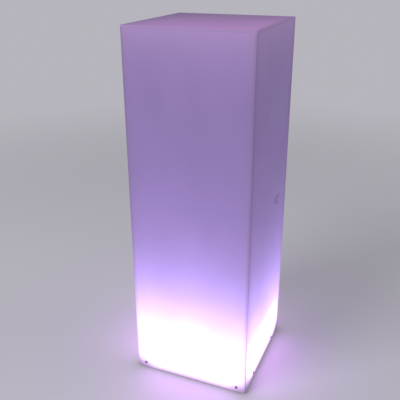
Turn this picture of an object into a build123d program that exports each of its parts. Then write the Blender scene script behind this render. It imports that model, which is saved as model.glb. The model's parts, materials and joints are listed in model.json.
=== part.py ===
from build123d import *
import os
from collections import namedtuple
from math import cos, radians, sin, tan

os.makedirs("parts", exist_ok=True)

# A light-up plinth: an opal acrylic cover on a screwed-in base board, standing on four rubber feet.
# Millimetres. +Z is up, the origin is on the ground under the middle, and the front faces -Y.

# Cover: five sheets, the top laid on the four walls, the side walls set between front and back
cover_width = 305.0
plinth_height = 900.0
sheet_thickness = 5.0
arris = 0.4

# Base board and feet
board_thickness = 18.0
cover_gap = 0.5
foot_height = 4.0
foot_radius = 11.0
foot_inset = 26.0
foot_recess_radius = 5.6
foot_recess_depth = 2.6
foot_edge_round = 0.8
washer_thickness = 0.6
washer_rim = 0.8

# Clearances used wherever one piece sits in another
seat_gap = 0.05
running_gap = 0.05
hole_gap = 0.25
moving_gap = 0.3

# Screws: the length is under a pan head, and over all of a countersunk one. Those of the cover sit
# in the upper half of the board, above the ends of the foot screws.
Screw = namedtuple("Screw", "shank_radius length head_radius head_height")
cover_screw = Screw(shank_radius=2.0, length=20.0, head_radius=4.0, head_height=2.6)
foot_screw = Screw(shank_radius=1.75, length=12.0, head_radius=3.6, head_height=1.6)
rail_screw = Screw(shank_radius=1.25, length=12.0, head_radius=2.5, head_height=1.3)
box_screw = Screw(shank_radius=1.75, length=12.0, head_radius=3.5, head_height=2.0)
plate_screw = Screw(shank_radius=1.25, length=10.0, head_radius=2.5, head_height=1.6)
circuit_screw = Screw(shank_radius=0.9, length=6.0, head_radius=1.9, head_height=1.2)
front_screw_inset = 23.0
side_screw_inset = 70.0
cover_screw_drop = 5.0
tip_ratio = 1.5
recess_reach_ratio = 0.62
recess_width_ratio = 0.26
recess_depth_ratio = 0.5
head_rim_ratio = 0.4

# Light rails in a square ring on the board, each with its strip and its light chips
rail_inset = 25.0
rail_width = 14.0
rail_height = 8.0
rail_wall = 1.2
rail_floor = 1.8
rail_corner_gap = 15.0
rail_screw_inset = 35.0
strip_width = 10.0
strip_thickness = 0.4
chip_pitch = 16.67
chip_size = 5.0
chip_height = 1.5
chip_window_radius = 2.0
chip_window_depth = 0.3
corner_wire_radius = 0.7
corner_wire_pitch = 2.4
corner_wire_count = 4

# Feed plug at the open corner of the ring
plug_length = 12.0
plug_height = 6.0
plug_lead_inset = 3.5

# Pocket in the board, reached from below, with the control plate at its roof
pocket_length = 116.0
pocket_width = 60.0
pocket_corner = 6.0
pocket_depth = 12.0
plate_thickness = 3.0
plate_gap = 0.5
plate_screw_inset = 8.0

# Control housing over the pocket
housing_wall = 2.5
housing_corner = 4.0
housing_head_room = 2.0
boss_radius = 4.0
lug_length = 12.0
lug_width = 14.0
lug_thickness = 3.0
lug_spread = 44.0
unit_gap = 16.0

# Circuit board on pillars of the control plate, towards the right end of the pocket
circuit_end_gap = 13.0
circuit_length = 43.0
circuit_width = 40.0
circuit_thickness = 1.6
pillar_height = 8.0
pillar_radius = 2.8
pillar_inset = 3.5
terminal_height = 9.0
terminal_depth = 8.0
terminal_pole = 5.0
wire_entry_height = 4.5
wire_entry_radius = 1.3
capacitor_radius = 4.0
capacitor_height = 10.5
transistor_length = 6.5
transistor_width = 6.0
transistor_height = 2.3
transistor_pitch = 7.6
transistor_count = 3
control_chip_length = 10.0
control_chip_width = 7.6
control_chip_height = 2.4

# Rocker switch, towards the left end of the pocket
rocker_inset = 18.0
rocker_width = 13.0
rocker_length = 19.2
rocker_height = 16.0
rocker_rim_lap = 1.0
rocker_rim_thickness = 1.8
rocker_wall = 1.2
rocker_mouth_depth = 11.5
rocker_pivot_depth = 5.3
rocker_pin_radius = 1.0
rocker_pin_seat = 0.7
paddle_crease = 4.3
paddle_back = 1.0
paddle_tilt = 12.0
paddle_stem_width = 2.4
paddle_stem_length = 4.6
tab_width = 4.8
tab_thickness = 0.8
tab_length = 8.0
tab_seat = 3.0
tab_spread = 11.0
latch_length = 6.0
latch_reach = 0.9
latch_height = 3.5

# Charging socket and its cap, midway between the rocker switch and the circuit board
socket_rim_radius = 6.5
socket_rim_thickness = 2.0
socket_thread_radius = 4.0
socket_length = 12.0
socket_bore_radius = 2.75
socket_bore_depth = 10.0
socket_pin_radius = 1.0
socket_pin_setback = 1.0
socket_pin_seat = 1.5
socket_lug_length = 5.0
socket_lug_width = 2.4
socket_lug_thickness = 0.8
nut_across_flats = 11.0
nut_thickness = 2.5
cap_rim_radius = 6.0
cap_rim_thickness = 1.8
cap_plug_length = 6.0
cap_tab_length = 8.0
cap_tab_width = 2.2
cap_tab_height = 2.0
cap_tab_round = 0.8

# Mode button with its tact switch under the circuit board
button_inset = 10.0
button_radius = 4.0
button_stand = 1.2
button_collar_radius = 5.5
button_collar_thickness = 1.2
button_stem_radius = 2.2
button_travel = 1.0
tact_size = 6.0
tact_height = 3.5
tact_lift_gap = 0.5
plunger_radius = 1.6
plunger_seat = 1.9

# Charge lamp: a light guide under a chip of the circuit board
lamp_inset = 9.0
lamp_radius = 1.5
lamp_stand = 0.7
lamp_collar_radius = 2.3
lamp_collar_thickness = 1.0
lamp_chip_length = 2.0
lamp_chip_width = 1.25
lamp_chip_height = 0.8
lamp_chip_gap = 0.2

# Battery: two rows of three round cells in a lidded case, held by two clamps
cell_radius = 9.2
cell_length = 65.0
cell_button_radius = 3.0
cell_button_height = 1.5
cell_gap = 0.4
link_thickness = 0.3
link_height = 8.0
cells_across = 3
case_wall = 2.2
case_corner = 4.0
case_end_room = 0.6
guard_room = 6.0
guard_board_length = 50.0
guard_board_thickness = 1.6
guard_board_height = 16.0
guard_chip_length = 5.0
guard_chip_thickness = 1.4
guard_chip_height = 4.0
guard_chip_pitch = 12.0
guard_chip_count = 3
lid_thickness = 2.2
clamp_width = 26.0
clamp_thickness = 1.2
clamp_lip = 8.0
clamp_foot = 10.0

# Leads, grommets and clips
lead_radius = 2.0
wire_radius = 0.8
bend_share = 0.45
grommet_neck = 1.2
grommet_flange = 1.6
grommet_flange_thickness = 1.2
clip_wall = 1.0
clip_width = 7.0
clip_tab = 7.0
clip_tab_thickness = 1.6
clip_spacing = 14.0
clip_start = 12.0
clip_count = 2
feed_straight = 54.0
feed_exit_run = 18.0
wire_run = 12.0
wire_lead_in = 4.0
switch_wire_drop = 3.5

# Heights and half widths that follow from the sizes above
half_width = cover_width / 2
half_inside = half_width - sheet_thickness
half_board = half_inside - cover_gap
board_bottom = foot_height
board_top = board_bottom + board_thickness
wall_top = plinth_height - sheet_thickness
wall_height = wall_top - board_bottom
wall_middle = (wall_top + board_bottom) / 2
screw_level = board_top - cover_screw_drop

# A plane on the outside of each wall: its x runs along the wall, its y runs up, its z points out
wall_planes = {
    "front": Plane((0, -half_width, 0), x_dir=(1, 0, 0), z_dir=(0, -1, 0)),
    "right": Plane((half_width, 0, 0), x_dir=(0, 1, 0), z_dir=(1, 0, 0)),
    "back": Plane((0, half_width, 0), x_dir=(-1, 0, 0), z_dir=(0, 1, 0)),
    "left": Plane((-half_width, 0, 0), x_dir=(0, -1, 0), z_dir=(-1, 0, 0)),
}
screw_spread = {
    "front": half_width - front_screw_inset,
    "right": half_width - side_screw_inset,
    "back": half_width - front_screw_inset,
    "left": half_width - side_screw_inset,
}


def cross_recess(size):
    """The cross cut in a screw's head, drawn on the sketch plane of the head's top."""
    for turn in (0, 90):
        Rectangle(
            2 * recess_reach_ratio * size.head_radius,
            recess_width_ratio * size.head_radius,
            rotation=turn,
        )


def pan_head_screw(size):
    """A pan-head screw on +Z: its head stands above Z = 0 and its shank runs down to a point."""
    tip_start = -size.length + tip_ratio * size.shank_radius
    rim_height = head_rim_ratio * size.head_height
    with BuildPart() as screw:
        with BuildSketch(Plane.XZ):
            with BuildLine():
                crown = TangentArc(
                    (0, size.head_height), (size.head_radius, rim_height), tangent=(1, 0)
                )
                Polyline(
                    crown @ 1,
                    (size.head_radius, 0),
                    (size.shank_radius, 0),
                    (size.shank_radius, tip_start),
                    (0, -size.length),
                    (0, size.head_height),
                )
            make_face()
        revolve(axis=Axis.Z)
        with BuildSketch(Plane.XY.offset(size.head_height)):
            cross_recess(size)
        extrude(amount=-recess_depth_ratio * size.head_height, mode=Mode.SUBTRACT)
    return screw.part


def countersunk_screw(size):
    """A countersunk screw on +Z: its flat head ends at Z = 0."""
    tip_start = -size.length + tip_ratio * size.shank_radius
    with BuildPart() as screw:
        with BuildSketch(Plane.XZ):
            with BuildLine():
                Polyline(
                    (0, 0),
                    (size.head_radius, 0),
                    (size.shank_radius, -size.head_height),
                    (size.shank_radius, tip_start),
                    (0, -size.length),
                    close=True,
                )
            make_face()
        revolve(axis=Axis.Z)
        with BuildSketch(Plane.XY):
            cross_recess(size)
        extrude(amount=-recess_depth_ratio * size.head_height, mode=Mode.SUBTRACT)
    return screw.part


def bend_radii(points):
    """The bend at each inner point of a route: as large as the shorter of its two runs allows."""
    radii = []
    for before, corner, after in zip(points, points[1:], points[2:]):
        run_in = Vector(*corner) - Vector(*before)
        run_out = Vector(*after) - Vector(*corner)
        half_turn = radians(run_in.get_angle(run_out)) / 2
        radii.append(bend_share * min(run_in.length, run_out.length) / tan(half_turn))
    return radii


def round_lead(points, radius):
    """A round lead along straight runs joined by bends."""
    with BuildPart() as lead:
        with BuildLine() as route:
            FilletPolyline(*points, radius=bend_radii(points))
        with BuildSketch(Plane(route.line @ 0, z_dir=route.line % 0)):
            Circle(radius)
        sweep()
    return lead.part


# The cover

with BuildPart() as front_panel:
    with BuildSketch(wall_planes["front"]):
        with Locations((0, wall_middle)):
            Rectangle(cover_width, wall_height)
        with Locations((-screw_spread["front"], screw_level), (screw_spread["front"], screw_level)):
            Circle(cover_screw.shank_radius + hole_gap, mode=Mode.SUBTRACT)
    extrude(amount=-sheet_thickness)
    chamfer(front_panel.faces().sort_by(Axis.Y)[0].edges().filter_by(Axis.Z), arris)
front_panel.part.label = "front_panel"
export_step(front_panel.part, "parts/front_panel.step")

with BuildPart() as back_panel:
    with BuildSketch(wall_planes["back"]):
        with Locations((0, wall_middle)):
            Rectangle(cover_width, wall_height)
        with Locations((-screw_spread["back"], screw_level), (screw_spread["back"], screw_level)):
            Circle(cover_screw.shank_radius + hole_gap, mode=Mode.SUBTRACT)
    extrude(amount=-sheet_thickness)
    chamfer(back_panel.faces().sort_by(Axis.Y)[-1].edges().filter_by(Axis.Z), arris)
back_panel.part.label = "back_panel"
export_step(back_panel.part, "parts/back_panel.step")

for side in ("left", "right"):
    with BuildPart() as side_panel:
        with BuildSketch(wall_planes[side]):
            with Locations((0, wall_middle)):
                Rectangle(2 * half_inside, wall_height)
            with Locations((-screw_spread[side], screw_level), (screw_spread[side], screw_level)):
                Circle(cover_screw.shank_radius + hole_gap, mode=Mode.SUBTRACT)
        extrude(amount=-sheet_thickness)
    side_panel.part.label = f"{side}_panel"
    export_step(side_panel.part, f"parts/{side}_panel.step")

with BuildPart() as top_panel:
    with BuildSketch(Plane.XY.offset(wall_top)):
        Rectangle(cover_width, cover_width)
    extrude(amount=sheet_thickness)
    chamfer(top_panel.faces().sort_by(Axis.Z)[-1].edges(), arris)
    chamfer(top_panel.edges().filter_by(Axis.Z), arris)
top_panel.part.label = "top_panel"
export_step(top_panel.part, "parts/top_panel.step")

cover_screw_shape = pan_head_screw(cover_screw)
with BuildPart() as cover_screws:
    for side, plane in wall_planes.items():
        with Locations(plane):
            with Locations((-screw_spread[side], screw_level), (screw_spread[side], screw_level)):
                add(cover_screw_shape)
cover_screws.part.label = "cover_screws"
export_step(cover_screws.part, "parts/cover_screws.step")

# The light ring: middle lines of the rails, and a floor plane for each with x along the wall

ring_half = half_inside - rail_inset
rail_half = ring_half - rail_corner_gap
rail_length = 2 * rail_half
channel_floor = board_top + rail_floor
rail_screw_spread = rail_half - rail_screw_inset
rail_planes = {
    "front": Plane((0, -ring_half, board_top), x_dir=(1, 0, 0), z_dir=(0, 0, 1)),
    "right": Plane((ring_half, 0, board_top), x_dir=(0, 1, 0), z_dir=(0, 0, 1)),
    "back": Plane((0, ring_half, board_top), x_dir=(-1, 0, 0), z_dir=(0, 0, 1)),
    "left": Plane((-ring_half, 0, board_top), x_dir=(0, -1, 0), z_dir=(0, 0, 1)),
}
rail_screw_places = ((-rail_screw_spread, 0), (rail_screw_spread, 0))

# Battery and control housing stand one behind the other, centred together on the board.
# Each row of cells has two end to end, with a link between them and one at each end.

case_inside_length = 2 * cell_length + 3 * link_thickness + 2 * case_end_room
case_inside_width = cells_across * (2 * cell_radius + cell_gap) + cell_gap + guard_room
case_inside_height = 2 * cell_radius + cell_gap
case_length = case_inside_length + 2 * case_wall
case_width = case_inside_width + 2 * case_wall
housing_length = pocket_length + 2 * housing_wall
housing_width = pocket_width + 2 * housing_wall
units_depth = case_width + unit_gap + housing_width
battery_y = -units_depth / 2 + case_width / 2
pocket_y = units_depth / 2 - housing_width / 2
case_floor = board_top + case_wall
case_top = case_floor + case_inside_height

# Control plate in the pocket, and what stands on it

plate_under = board_bottom + pocket_depth
plate_top = plate_under + plate_thickness
boss_x = pocket_length / 2 - plate_screw_inset
boss_y = pocket_width / 2 - plate_screw_inset
circuit_under = plate_top + pillar_height
circuit_top = circuit_under + circuit_thickness
circuit_right = pocket_length / 2 - circuit_end_gap
circuit_left = circuit_right - circuit_length
circuit_middle = (circuit_left + circuit_right) / 2
rocker_at = rocker_inset - pocket_length / 2
rocker_right = rocker_at + rocker_width / 2 + rocker_rim_lap
socket_at = (rocker_right + circuit_left) / 2
button_at = circuit_left + button_inset
lamp_at = circuit_right - lamp_inset
pillar_places = [
    (circuit_middle + across * (circuit_length / 2 - pillar_inset),
     along * (circuit_width / 2 - pillar_inset))
    for across in (-1, 1)
    for along in (-1, 1)
]
rocker_top = plate_under + rocker_height
tabs_top = rocker_top + tab_length
parts_top = max(tabs_top, circuit_top + capacitor_height, circuit_top + terminal_height)
housing_ceiling = parts_top + housing_head_room
housing_top = housing_ceiling + housing_wall
lug_x = housing_length / 2 + lug_length / 2
lug_places = [(along * lug_x, across * lug_spread / 2) for along in (-1, 1) for across in (-1, 1)]
wire_level = circuit_top + wire_entry_height
switch_wire_level = tabs_top - switch_wire_drop
inside_plate = Plane((0, pocket_y, plate_top))
below_plate = Plane((0, pocket_y, plate_under), x_dir=(1, 0, 0), z_dir=(0, 0, -1))

# Clamps grip the ends of the battery case

clamp_inner = case_length / 2 + seat_gap
clamp_screw_x = clamp_inner + clamp_thickness + clamp_foot / 2
clamp_screw_places = ((-clamp_screw_x, 0), (clamp_screw_x, 0))

# Feed lead: plug at the back right corner of the ring, along the right rail, into the housing

plug_face_y = ring_half - plug_length / 2
feed_x = rail_half + plug_lead_inset
feed_level = board_top + lead_radius
clip_rows = [plug_face_y - clip_start - row * clip_spacing for row in range(clip_count)]
clip_screw_x = feed_x - lead_radius - clip_wall - clip_tab / 2
feed_bend_y = plug_face_y - feed_straight

# The base board

foot_spread = 2 * (half_width - foot_inset)

with BuildPart() as base_board:
    with BuildSketch(Plane.XY.offset(board_bottom)):
        Rectangle(2 * half_board, 2 * half_board)
        with Locations((0, pocket_y)):
            RectangleRounded(pocket_length, pocket_width, pocket_corner, mode=Mode.SUBTRACT)
    extrude(amount=board_thickness)
    for side, plane in wall_planes.items():
        with Locations(plane):
            with Locations((-screw_spread[side], screw_level), (screw_spread[side], screw_level)):
                Hole(cover_screw.shank_radius + seat_gap, depth=cover_screw.length + seat_gap)
    with Locations(Plane((0, 0, board_bottom), x_dir=(1, 0, 0), z_dir=(0, 0, -1))):
        with GridLocations(foot_spread, foot_spread, 2, 2):
            Hole(foot_screw.shank_radius + seat_gap, depth=foot_screw.length)
    for plane in rail_planes.values():
        with Locations(plane):
            with Locations(*rail_screw_places):
                Hole(rail_screw.shank_radius + seat_gap, depth=rail_screw.length)
    with Locations(Plane((0, battery_y, board_top))):
        with Locations(*clamp_screw_places):
            Hole(box_screw.shank_radius + seat_gap, depth=box_screw.length)
    with Locations(Plane((0, pocket_y, board_top))):
        with Locations(*lug_places):
            Hole(box_screw.shank_radius + seat_gap, depth=box_screw.length)
    with Locations(Plane((clip_screw_x, 0, board_top))):
        with Locations(*[(0, row) for row in clip_rows]):
            Hole(rail_screw.shank_radius + seat_gap, depth=rail_screw.length)
base_board.part.label = "base_board"
export_step(base_board.part, "parts/base_board.step")

# Feet: each has a recess from below for a washer and a screw

with BuildPart() as rubber_feet:
    with BuildSketch(Plane.XY):
        with GridLocations(foot_spread, foot_spread, 2, 2):
            Circle(foot_radius)
    extrude(amount=foot_height)
    fillet(rubber_feet.faces().filter_by(Axis.Z).group_by(Axis.Z)[0].edges(), foot_edge_round)
    with BuildSketch(Plane.XY):
        with GridLocations(foot_spread, foot_spread, 2, 2):
            Circle(foot_recess_radius)
    extrude(amount=foot_recess_depth, mode=Mode.SUBTRACT)
    with BuildSketch(Plane.XY):
        with GridLocations(foot_spread, foot_spread, 2, 2):
            Circle(foot_screw.shank_radius + hole_gap)
    extrude(amount=foot_height, mode=Mode.SUBTRACT)
rubber_feet.part.label = "rubber_feet"
export_step(rubber_feet.part, "parts/rubber_feet.step")

with BuildPart() as foot_washers:
    with BuildSketch(Plane.XY.offset(foot_recess_depth - washer_thickness)):
        with GridLocations(foot_spread, foot_spread, 2, 2):
            Circle(foot_recess_radius - washer_rim)
            Circle(foot_screw.shank_radius + hole_gap, mode=Mode.SUBTRACT)
    extrude(amount=washer_thickness)
foot_washers.part.label = "foot_washers"
export_step(foot_washers.part, "parts/foot_washers.step")

foot_screw_shape = pan_head_screw(foot_screw)
foot_screw_level = foot_recess_depth - washer_thickness
with BuildPart() as foot_screws:
    with Locations(Plane((0, 0, foot_screw_level), x_dir=(1, 0, 0), z_dir=(0, 0, -1))):
        with GridLocations(foot_spread, foot_spread, 2, 2):
            add(foot_screw_shape)
foot_screws.part.label = "foot_screws"
export_step(foot_screws.part, "parts/foot_screws.step")

# Rails, strips and light chips, one set for each wall

chips_per_strip = int(rail_length // chip_pitch)
for side, plane in rail_planes.items():
    with BuildPart() as led_rail:
        with BuildSketch(plane):
            Rectangle(rail_length, rail_width)
        extrude(amount=rail_height)
        with BuildSketch(plane.offset(rail_floor)):
            Rectangle(rail_length, rail_width - 2 * rail_wall)
        extrude(amount=rail_height - rail_floor, mode=Mode.SUBTRACT)
        with Locations(plane.offset(rail_floor)):
            with Locations(*rail_screw_places):
                Hole(rail_screw.shank_radius + hole_gap, depth=rail_floor)
                Cone(
                    rail_screw.shank_radius + seat_gap,
                    rail_screw.head_radius + seat_gap,
                    rail_screw.head_height,
                    align=(Align.CENTER, Align.CENTER, Align.MAX),
                    mode=Mode.SUBTRACT,
                )
    led_rail.part.label = f"led_rail_{side}"
    export_step(led_rail.part, f"parts/led_rail_{side}.step")

    with BuildPart() as led_strip:
        with BuildSketch(plane.offset(rail_floor)):
            Rectangle(rail_length, strip_width)
        extrude(amount=strip_thickness)
    led_strip.part.label = f"led_strip_{side}"
    export_step(led_strip.part, f"parts/led_strip_{side}.step")

    with BuildPart() as led_chips:
        with BuildSketch(plane.offset(rail_floor + strip_thickness)):
            with GridLocations(chip_pitch, 0, chips_per_strip, 1):
                Rectangle(chip_size, chip_size)
        extrude(amount=chip_height)
        with BuildSketch(plane.offset(rail_floor + strip_thickness + chip_height)):
            with GridLocations(chip_pitch, 0, chips_per_strip, 1):
                Circle(chip_window_radius)
        extrude(amount=-chip_window_depth, mode=Mode.SUBTRACT)
    led_chips.part.label = f"led_chips_{side}"
    export_step(led_chips.part, f"parts/led_chips_{side}.step")

rail_screw_shape = countersunk_screw(rail_screw)
with BuildPart() as rail_screws:
    for plane in rail_planes.values():
        with Locations(plane.offset(rail_floor)):
            with Locations(*rail_screw_places):
                add(rail_screw_shape)
rail_screws.part.label = "rail_screws"
export_step(rail_screws.part, "parts/rail_screws.step")

# Four thin wires turn each closed corner of the ring; the back right corner takes the feed plug

corner_wire_places = [
    (rail_corner_gap + (wire - (corner_wire_count - 1) / 2) * corner_wire_pitch, 0)
    for wire in range(corner_wire_count)
]
with BuildPart() as corner_bend:
    with BuildSketch(
        Plane(
            (rail_half, -rail_half, channel_floor + corner_wire_radius),
            x_dir=(1, 0, 0),
            z_dir=(0, -1, 0),
        )
    ):
        with Locations(*corner_wire_places):
            Circle(corner_wire_radius)
    revolve(axis=Axis((rail_half, -rail_half, 0), (0, 0, -1)), revolution_arc=90)
with BuildPart() as corner_leads:
    with Locations(*[Location((0, 0, 0), (0, 0, turn)) for turn in (0, 180, 270)]):
        add(corner_bend.part)
corner_leads.part.label = "corner_leads"
export_step(corner_leads.part, "parts/corner_leads.step")

with BuildPart() as feed_plug:
    with BuildSketch(Plane.XY.offset(board_top)):
        with Locations((rail_half, ring_half)):
            Rectangle(plug_length, plug_length, align=(Align.MIN, Align.CENTER))
    extrude(amount=plug_height)
    fillet(feed_plug.faces().sort_by(Axis.Z)[-1].edges(), arris)
feed_plug.part.label = "feed_plug"
export_step(feed_plug.part, "parts/feed_plug.step")

# The control housing

with BuildPart() as control_housing:
    with BuildSketch(Plane.XY.offset(board_top)):
        with Locations((0, pocket_y)):
            RectangleRounded(housing_length, housing_width, housing_corner)
    extrude(amount=housing_top - board_top)
    fillet(control_housing.faces().sort_by(Axis.Z)[-1].edges(), arris)
    with BuildSketch(Plane.XY.offset(board_top)):
        with Locations((0, pocket_y)):
            Rectangle(pocket_length, pocket_width)
    extrude(amount=housing_ceiling - board_top, mode=Mode.SUBTRACT)
    with BuildSketch(Plane.XY.offset(plate_top)):
        with Locations((0, pocket_y)):
            with GridLocations(2 * boss_x, 2 * boss_y, 2, 2):
                Circle(boss_radius)
    extrude(amount=housing_ceiling - plate_top)
    with BuildSketch(Plane.XY.offset(board_top)):
        with Locations((0, pocket_y)):
            with Locations(*lug_places):
                Rectangle(lug_length, lug_width)
    extrude(amount=lug_thickness)
    with Locations(Plane((0, pocket_y, board_top + lug_thickness))):
        with Locations(*lug_places):
            Hole(box_screw.shank_radius + hole_gap, depth=lug_thickness)
    with Locations(Plane((0, pocket_y, plate_top), x_dir=(1, 0, 0), z_dir=(0, 0, -1))):
        with GridLocations(2 * boss_x, 2 * boss_y, 2, 2):
            Hole(plate_screw.shank_radius + seat_gap, depth=plate_screw.length)
    with Locations(Plane((housing_length / 2, pocket_y, wire_level), z_dir=(1, 0, 0))):
        Hole(lead_radius + grommet_neck, depth=housing_wall)
    with Locations(Plane((circuit_middle, pocket_y - housing_width / 2, wire_level), z_dir=(0, -1, 0))):
        Hole(lead_radius + grommet_neck, depth=housing_wall)
control_housing.part.label = "control_housing"
export_step(control_housing.part, "parts/control_housing.step")

box_screw_shape = pan_head_screw(box_screw)
with BuildPart() as housing_screws:
    with Locations(Plane((0, pocket_y, board_top + lug_thickness))):
        with Locations(*lug_places):
            add(box_screw_shape)
housing_screws.part.label = "housing_screws"
export_step(housing_screws.part, "parts/housing_screws.step")

# The control plate: a hole for each control, and pillars for the circuit board

with BuildPart() as control_plate:
    with BuildSketch(Plane.XY.offset(plate_under)):
        with Locations((0, pocket_y)):
            RectangleRounded(
                pocket_length - 2 * plate_gap, pocket_width - 2 * plate_gap, pocket_corner - plate_gap
            )
            with Locations((rocker_at, 0)):
                Rectangle(
                    rocker_width + 2 * seat_gap, rocker_length + 2 * seat_gap, mode=Mode.SUBTRACT
                )
            with Locations((socket_at, 0)):
                Circle(socket_thread_radius + seat_gap, mode=Mode.SUBTRACT)
            with Locations((button_at, 0)):
                Circle(button_radius + moving_gap, mode=Mode.SUBTRACT)
            with Locations((lamp_at, 0)):
                Circle(lamp_radius + seat_gap, mode=Mode.SUBTRACT)
            with GridLocations(2 * boss_x, 2 * boss_y, 2, 2):
                Circle(plate_screw.shank_radius + hole_gap, mode=Mode.SUBTRACT)
    extrude(amount=plate_thickness)
    with BuildSketch(inside_plate):
        with Locations(*pillar_places):
            Circle(pillar_radius)
    extrude(amount=pillar_height)
    with Locations(inside_plate.offset(pillar_height)):
        with Locations(*pillar_places):
            Hole(circuit_screw.shank_radius + seat_gap, depth=circuit_screw.length)
control_plate.part.label = "control_plate"
export_step(control_plate.part, "parts/control_plate.step")

plate_screw_shape = pan_head_screw(plate_screw)
with BuildPart() as plate_screws:
    with Locations(below_plate):
        with GridLocations(2 * boss_x, 2 * boss_y, 2, 2):
            add(plate_screw_shape)
plate_screws.part.label = "plate_screws"
export_step(plate_screws.part, "parts/plate_screws.step")

# Circuit board and its parts

with BuildPart() as circuit_board:
    with BuildSketch(Plane.XY.offset(circuit_under)):
        with Locations((circuit_middle, pocket_y)):
            Rectangle(circuit_length, circuit_width)
        with Locations((0, pocket_y)):
            with Locations(*pillar_places):
                Circle(circuit_screw.shank_radius + hole_gap, mode=Mode.SUBTRACT)
    extrude(amount=circuit_thickness)
circuit_board.part.label = "circuit_board"
export_step(circuit_board.part, "parts/circuit_board.step")

circuit_screw_shape = pan_head_screw(circuit_screw)
with BuildPart() as circuit_screws:
    with Locations(Plane((0, pocket_y, circuit_top))):
        with Locations(*pillar_places):
            add(circuit_screw_shape)
circuit_screws.part.label = "circuit_screws"
export_step(circuit_screws.part, "parts/circuit_screws.step")

switch_terminal_poles = 4
switch_terminal_x = circuit_left + terminal_depth / 2
battery_terminal_y = pocket_y - circuit_width / 2 + terminal_depth / 2
feed_terminal_x = circuit_right - terminal_depth / 2
pole_places = [
    (pole - (switch_terminal_poles - 1) / 2) * terminal_pole for pole in range(switch_terminal_poles)
]
with BuildPart() as wire_terminals:
    with BuildSketch(Plane.XY.offset(circuit_top)):
        with Locations((switch_terminal_x, pocket_y), (feed_terminal_x, pocket_y)):
            Rectangle(terminal_depth, switch_terminal_poles * terminal_pole)
        with Locations((circuit_middle, battery_terminal_y)):
            Rectangle(2 * terminal_pole, terminal_depth)
    extrude(amount=terminal_height)
    with Locations(Plane((circuit_left, pocket_y, wire_level), x_dir=(0, 1, 0), z_dir=(-1, 0, 0))):
        with Locations(*[(place, 0) for place in pole_places]):
            Hole(wire_entry_radius, depth=terminal_depth / 2)
wire_terminals.part.label = "wire_terminals"
export_step(wire_terminals.part, "parts/wire_terminals.step")

with BuildPart() as circuit_chips:
    with BuildSketch(Plane.XY.offset(circuit_top)):
        with Locations((circuit_middle, pocket_y + terminal_pole / 2)):
            Rectangle(control_chip_length, control_chip_width)
    extrude(amount=control_chip_height)
    with BuildSketch(Plane.XY.offset(circuit_top)):
        with Locations((circuit_middle, pocket_y + circuit_width / 2 - transistor_width / 2)):
            with GridLocations(transistor_pitch, 0, transistor_count, 1):
                Rectangle(transistor_length, transistor_width)
    extrude(amount=transistor_height)
    with BuildSketch(Plane.XY.offset(circuit_under - lamp_chip_height)):
        with Locations((lamp_at, pocket_y)):
            Rectangle(lamp_chip_length, lamp_chip_width)
    extrude(amount=lamp_chip_height)
circuit_chips.part.label = "circuit_chips"
export_step(circuit_chips.part, "parts/circuit_chips.step")

with BuildPart() as smoothing_capacitor:
    with BuildSketch(Plane.XY.offset(circuit_top)):
        with Locations((circuit_middle + 2 * terminal_pole, battery_terminal_y)):
            Circle(capacitor_radius)
    extrude(amount=capacitor_height)
    fillet(smoothing_capacitor.faces().sort_by(Axis.Z)[-1].edges(), arris)
smoothing_capacitor.part.label = "smoothing_capacitor"
export_step(smoothing_capacitor.part, "parts/smoothing_capacitor.step")

# Rocker switch: its rim lies under the plate, and latches on its body hold it above

rocker_mouth_width = rocker_width - 2 * rocker_wall
rocker_mouth_length = rocker_length - 2 * rocker_wall
rocker_rim_face = plate_under - rocker_rim_thickness
rocker_pin_half = rocker_mouth_width / 2 + rocker_pin_seat
pivot_level = rocker_rim_face + rocker_pivot_depth
pivot_plane = Plane((rocker_at, pocket_y, pivot_level), x_dir=(0, 1, 0), z_dir=(1, 0, 0))
latch_level = plate_top + seat_gap

with BuildPart() as rocker_body:
    with BuildSketch(below_plate):
        with Locations((rocker_at, 0)):
            Rectangle(rocker_width + 2 * rocker_rim_lap, rocker_length + 2 * rocker_rim_lap)
    extrude(amount=rocker_rim_thickness)
    fillet(rocker_body.faces().sort_by(Axis.Z)[0].edges(), arris)
    with BuildSketch(below_plate):
        with Locations((rocker_at, 0)):
            Rectangle(rocker_width, rocker_length)
    extrude(amount=-rocker_height)
    with BuildSketch(below_plate.offset(rocker_rim_thickness)):
        with Locations((rocker_at, 0)):
            Rectangle(rocker_mouth_width, rocker_mouth_length)
    extrude(amount=-rocker_mouth_depth, mode=Mode.SUBTRACT)
    with BuildSketch(Plane((rocker_at, pocket_y, 0), x_dir=(0, 1, 0), z_dir=(1, 0, 0))):
        for way in (-1, 1):
            with BuildLine():
                Polyline(
                    (way * rocker_length / 2, latch_level),
                    (way * (rocker_length / 2 + latch_reach), latch_level),
                    (way * rocker_length / 2, latch_level + latch_height),
                    close=True,
                )
            make_face()
    extrude(amount=latch_length / 2, both=True)
    with BuildSketch(pivot_plane):
        Circle(rocker_pin_radius + running_gap)
    extrude(amount=rocker_pin_half + seat_gap, both=True, mode=Mode.SUBTRACT)
    with BuildSketch(Plane.XY.offset(rocker_top)):
        with Locations((rocker_at, pocket_y)):
            with GridLocations(0, tab_spread, 1, 2):
                Rectangle(tab_thickness + 2 * seat_gap, tab_width + 2 * seat_gap)
    extrude(amount=-tab_seat, mode=Mode.SUBTRACT)
rocker_body.part.label = "rocker_body"
export_step(rocker_body.part, "parts/rocker_body.step")

with BuildPart() as rocker_tabs:
    with BuildSketch(Plane.XY.offset(rocker_top - tab_seat)):
        with Locations((rocker_at, pocket_y)):
            with GridLocations(0, tab_spread, 1, 2):
                Rectangle(tab_thickness, tab_width)
    extrude(amount=tab_seat + tab_length)
rocker_tabs.part.label = "rocker_tabs"
export_step(rocker_tabs.part, "parts/rocker_tabs.step")

# The paddle is drawn level about its pivot and tilted by its plane, with its back end pressed in.
# Its length leaves the moving gap in the mouth at either end of its travel.

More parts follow.
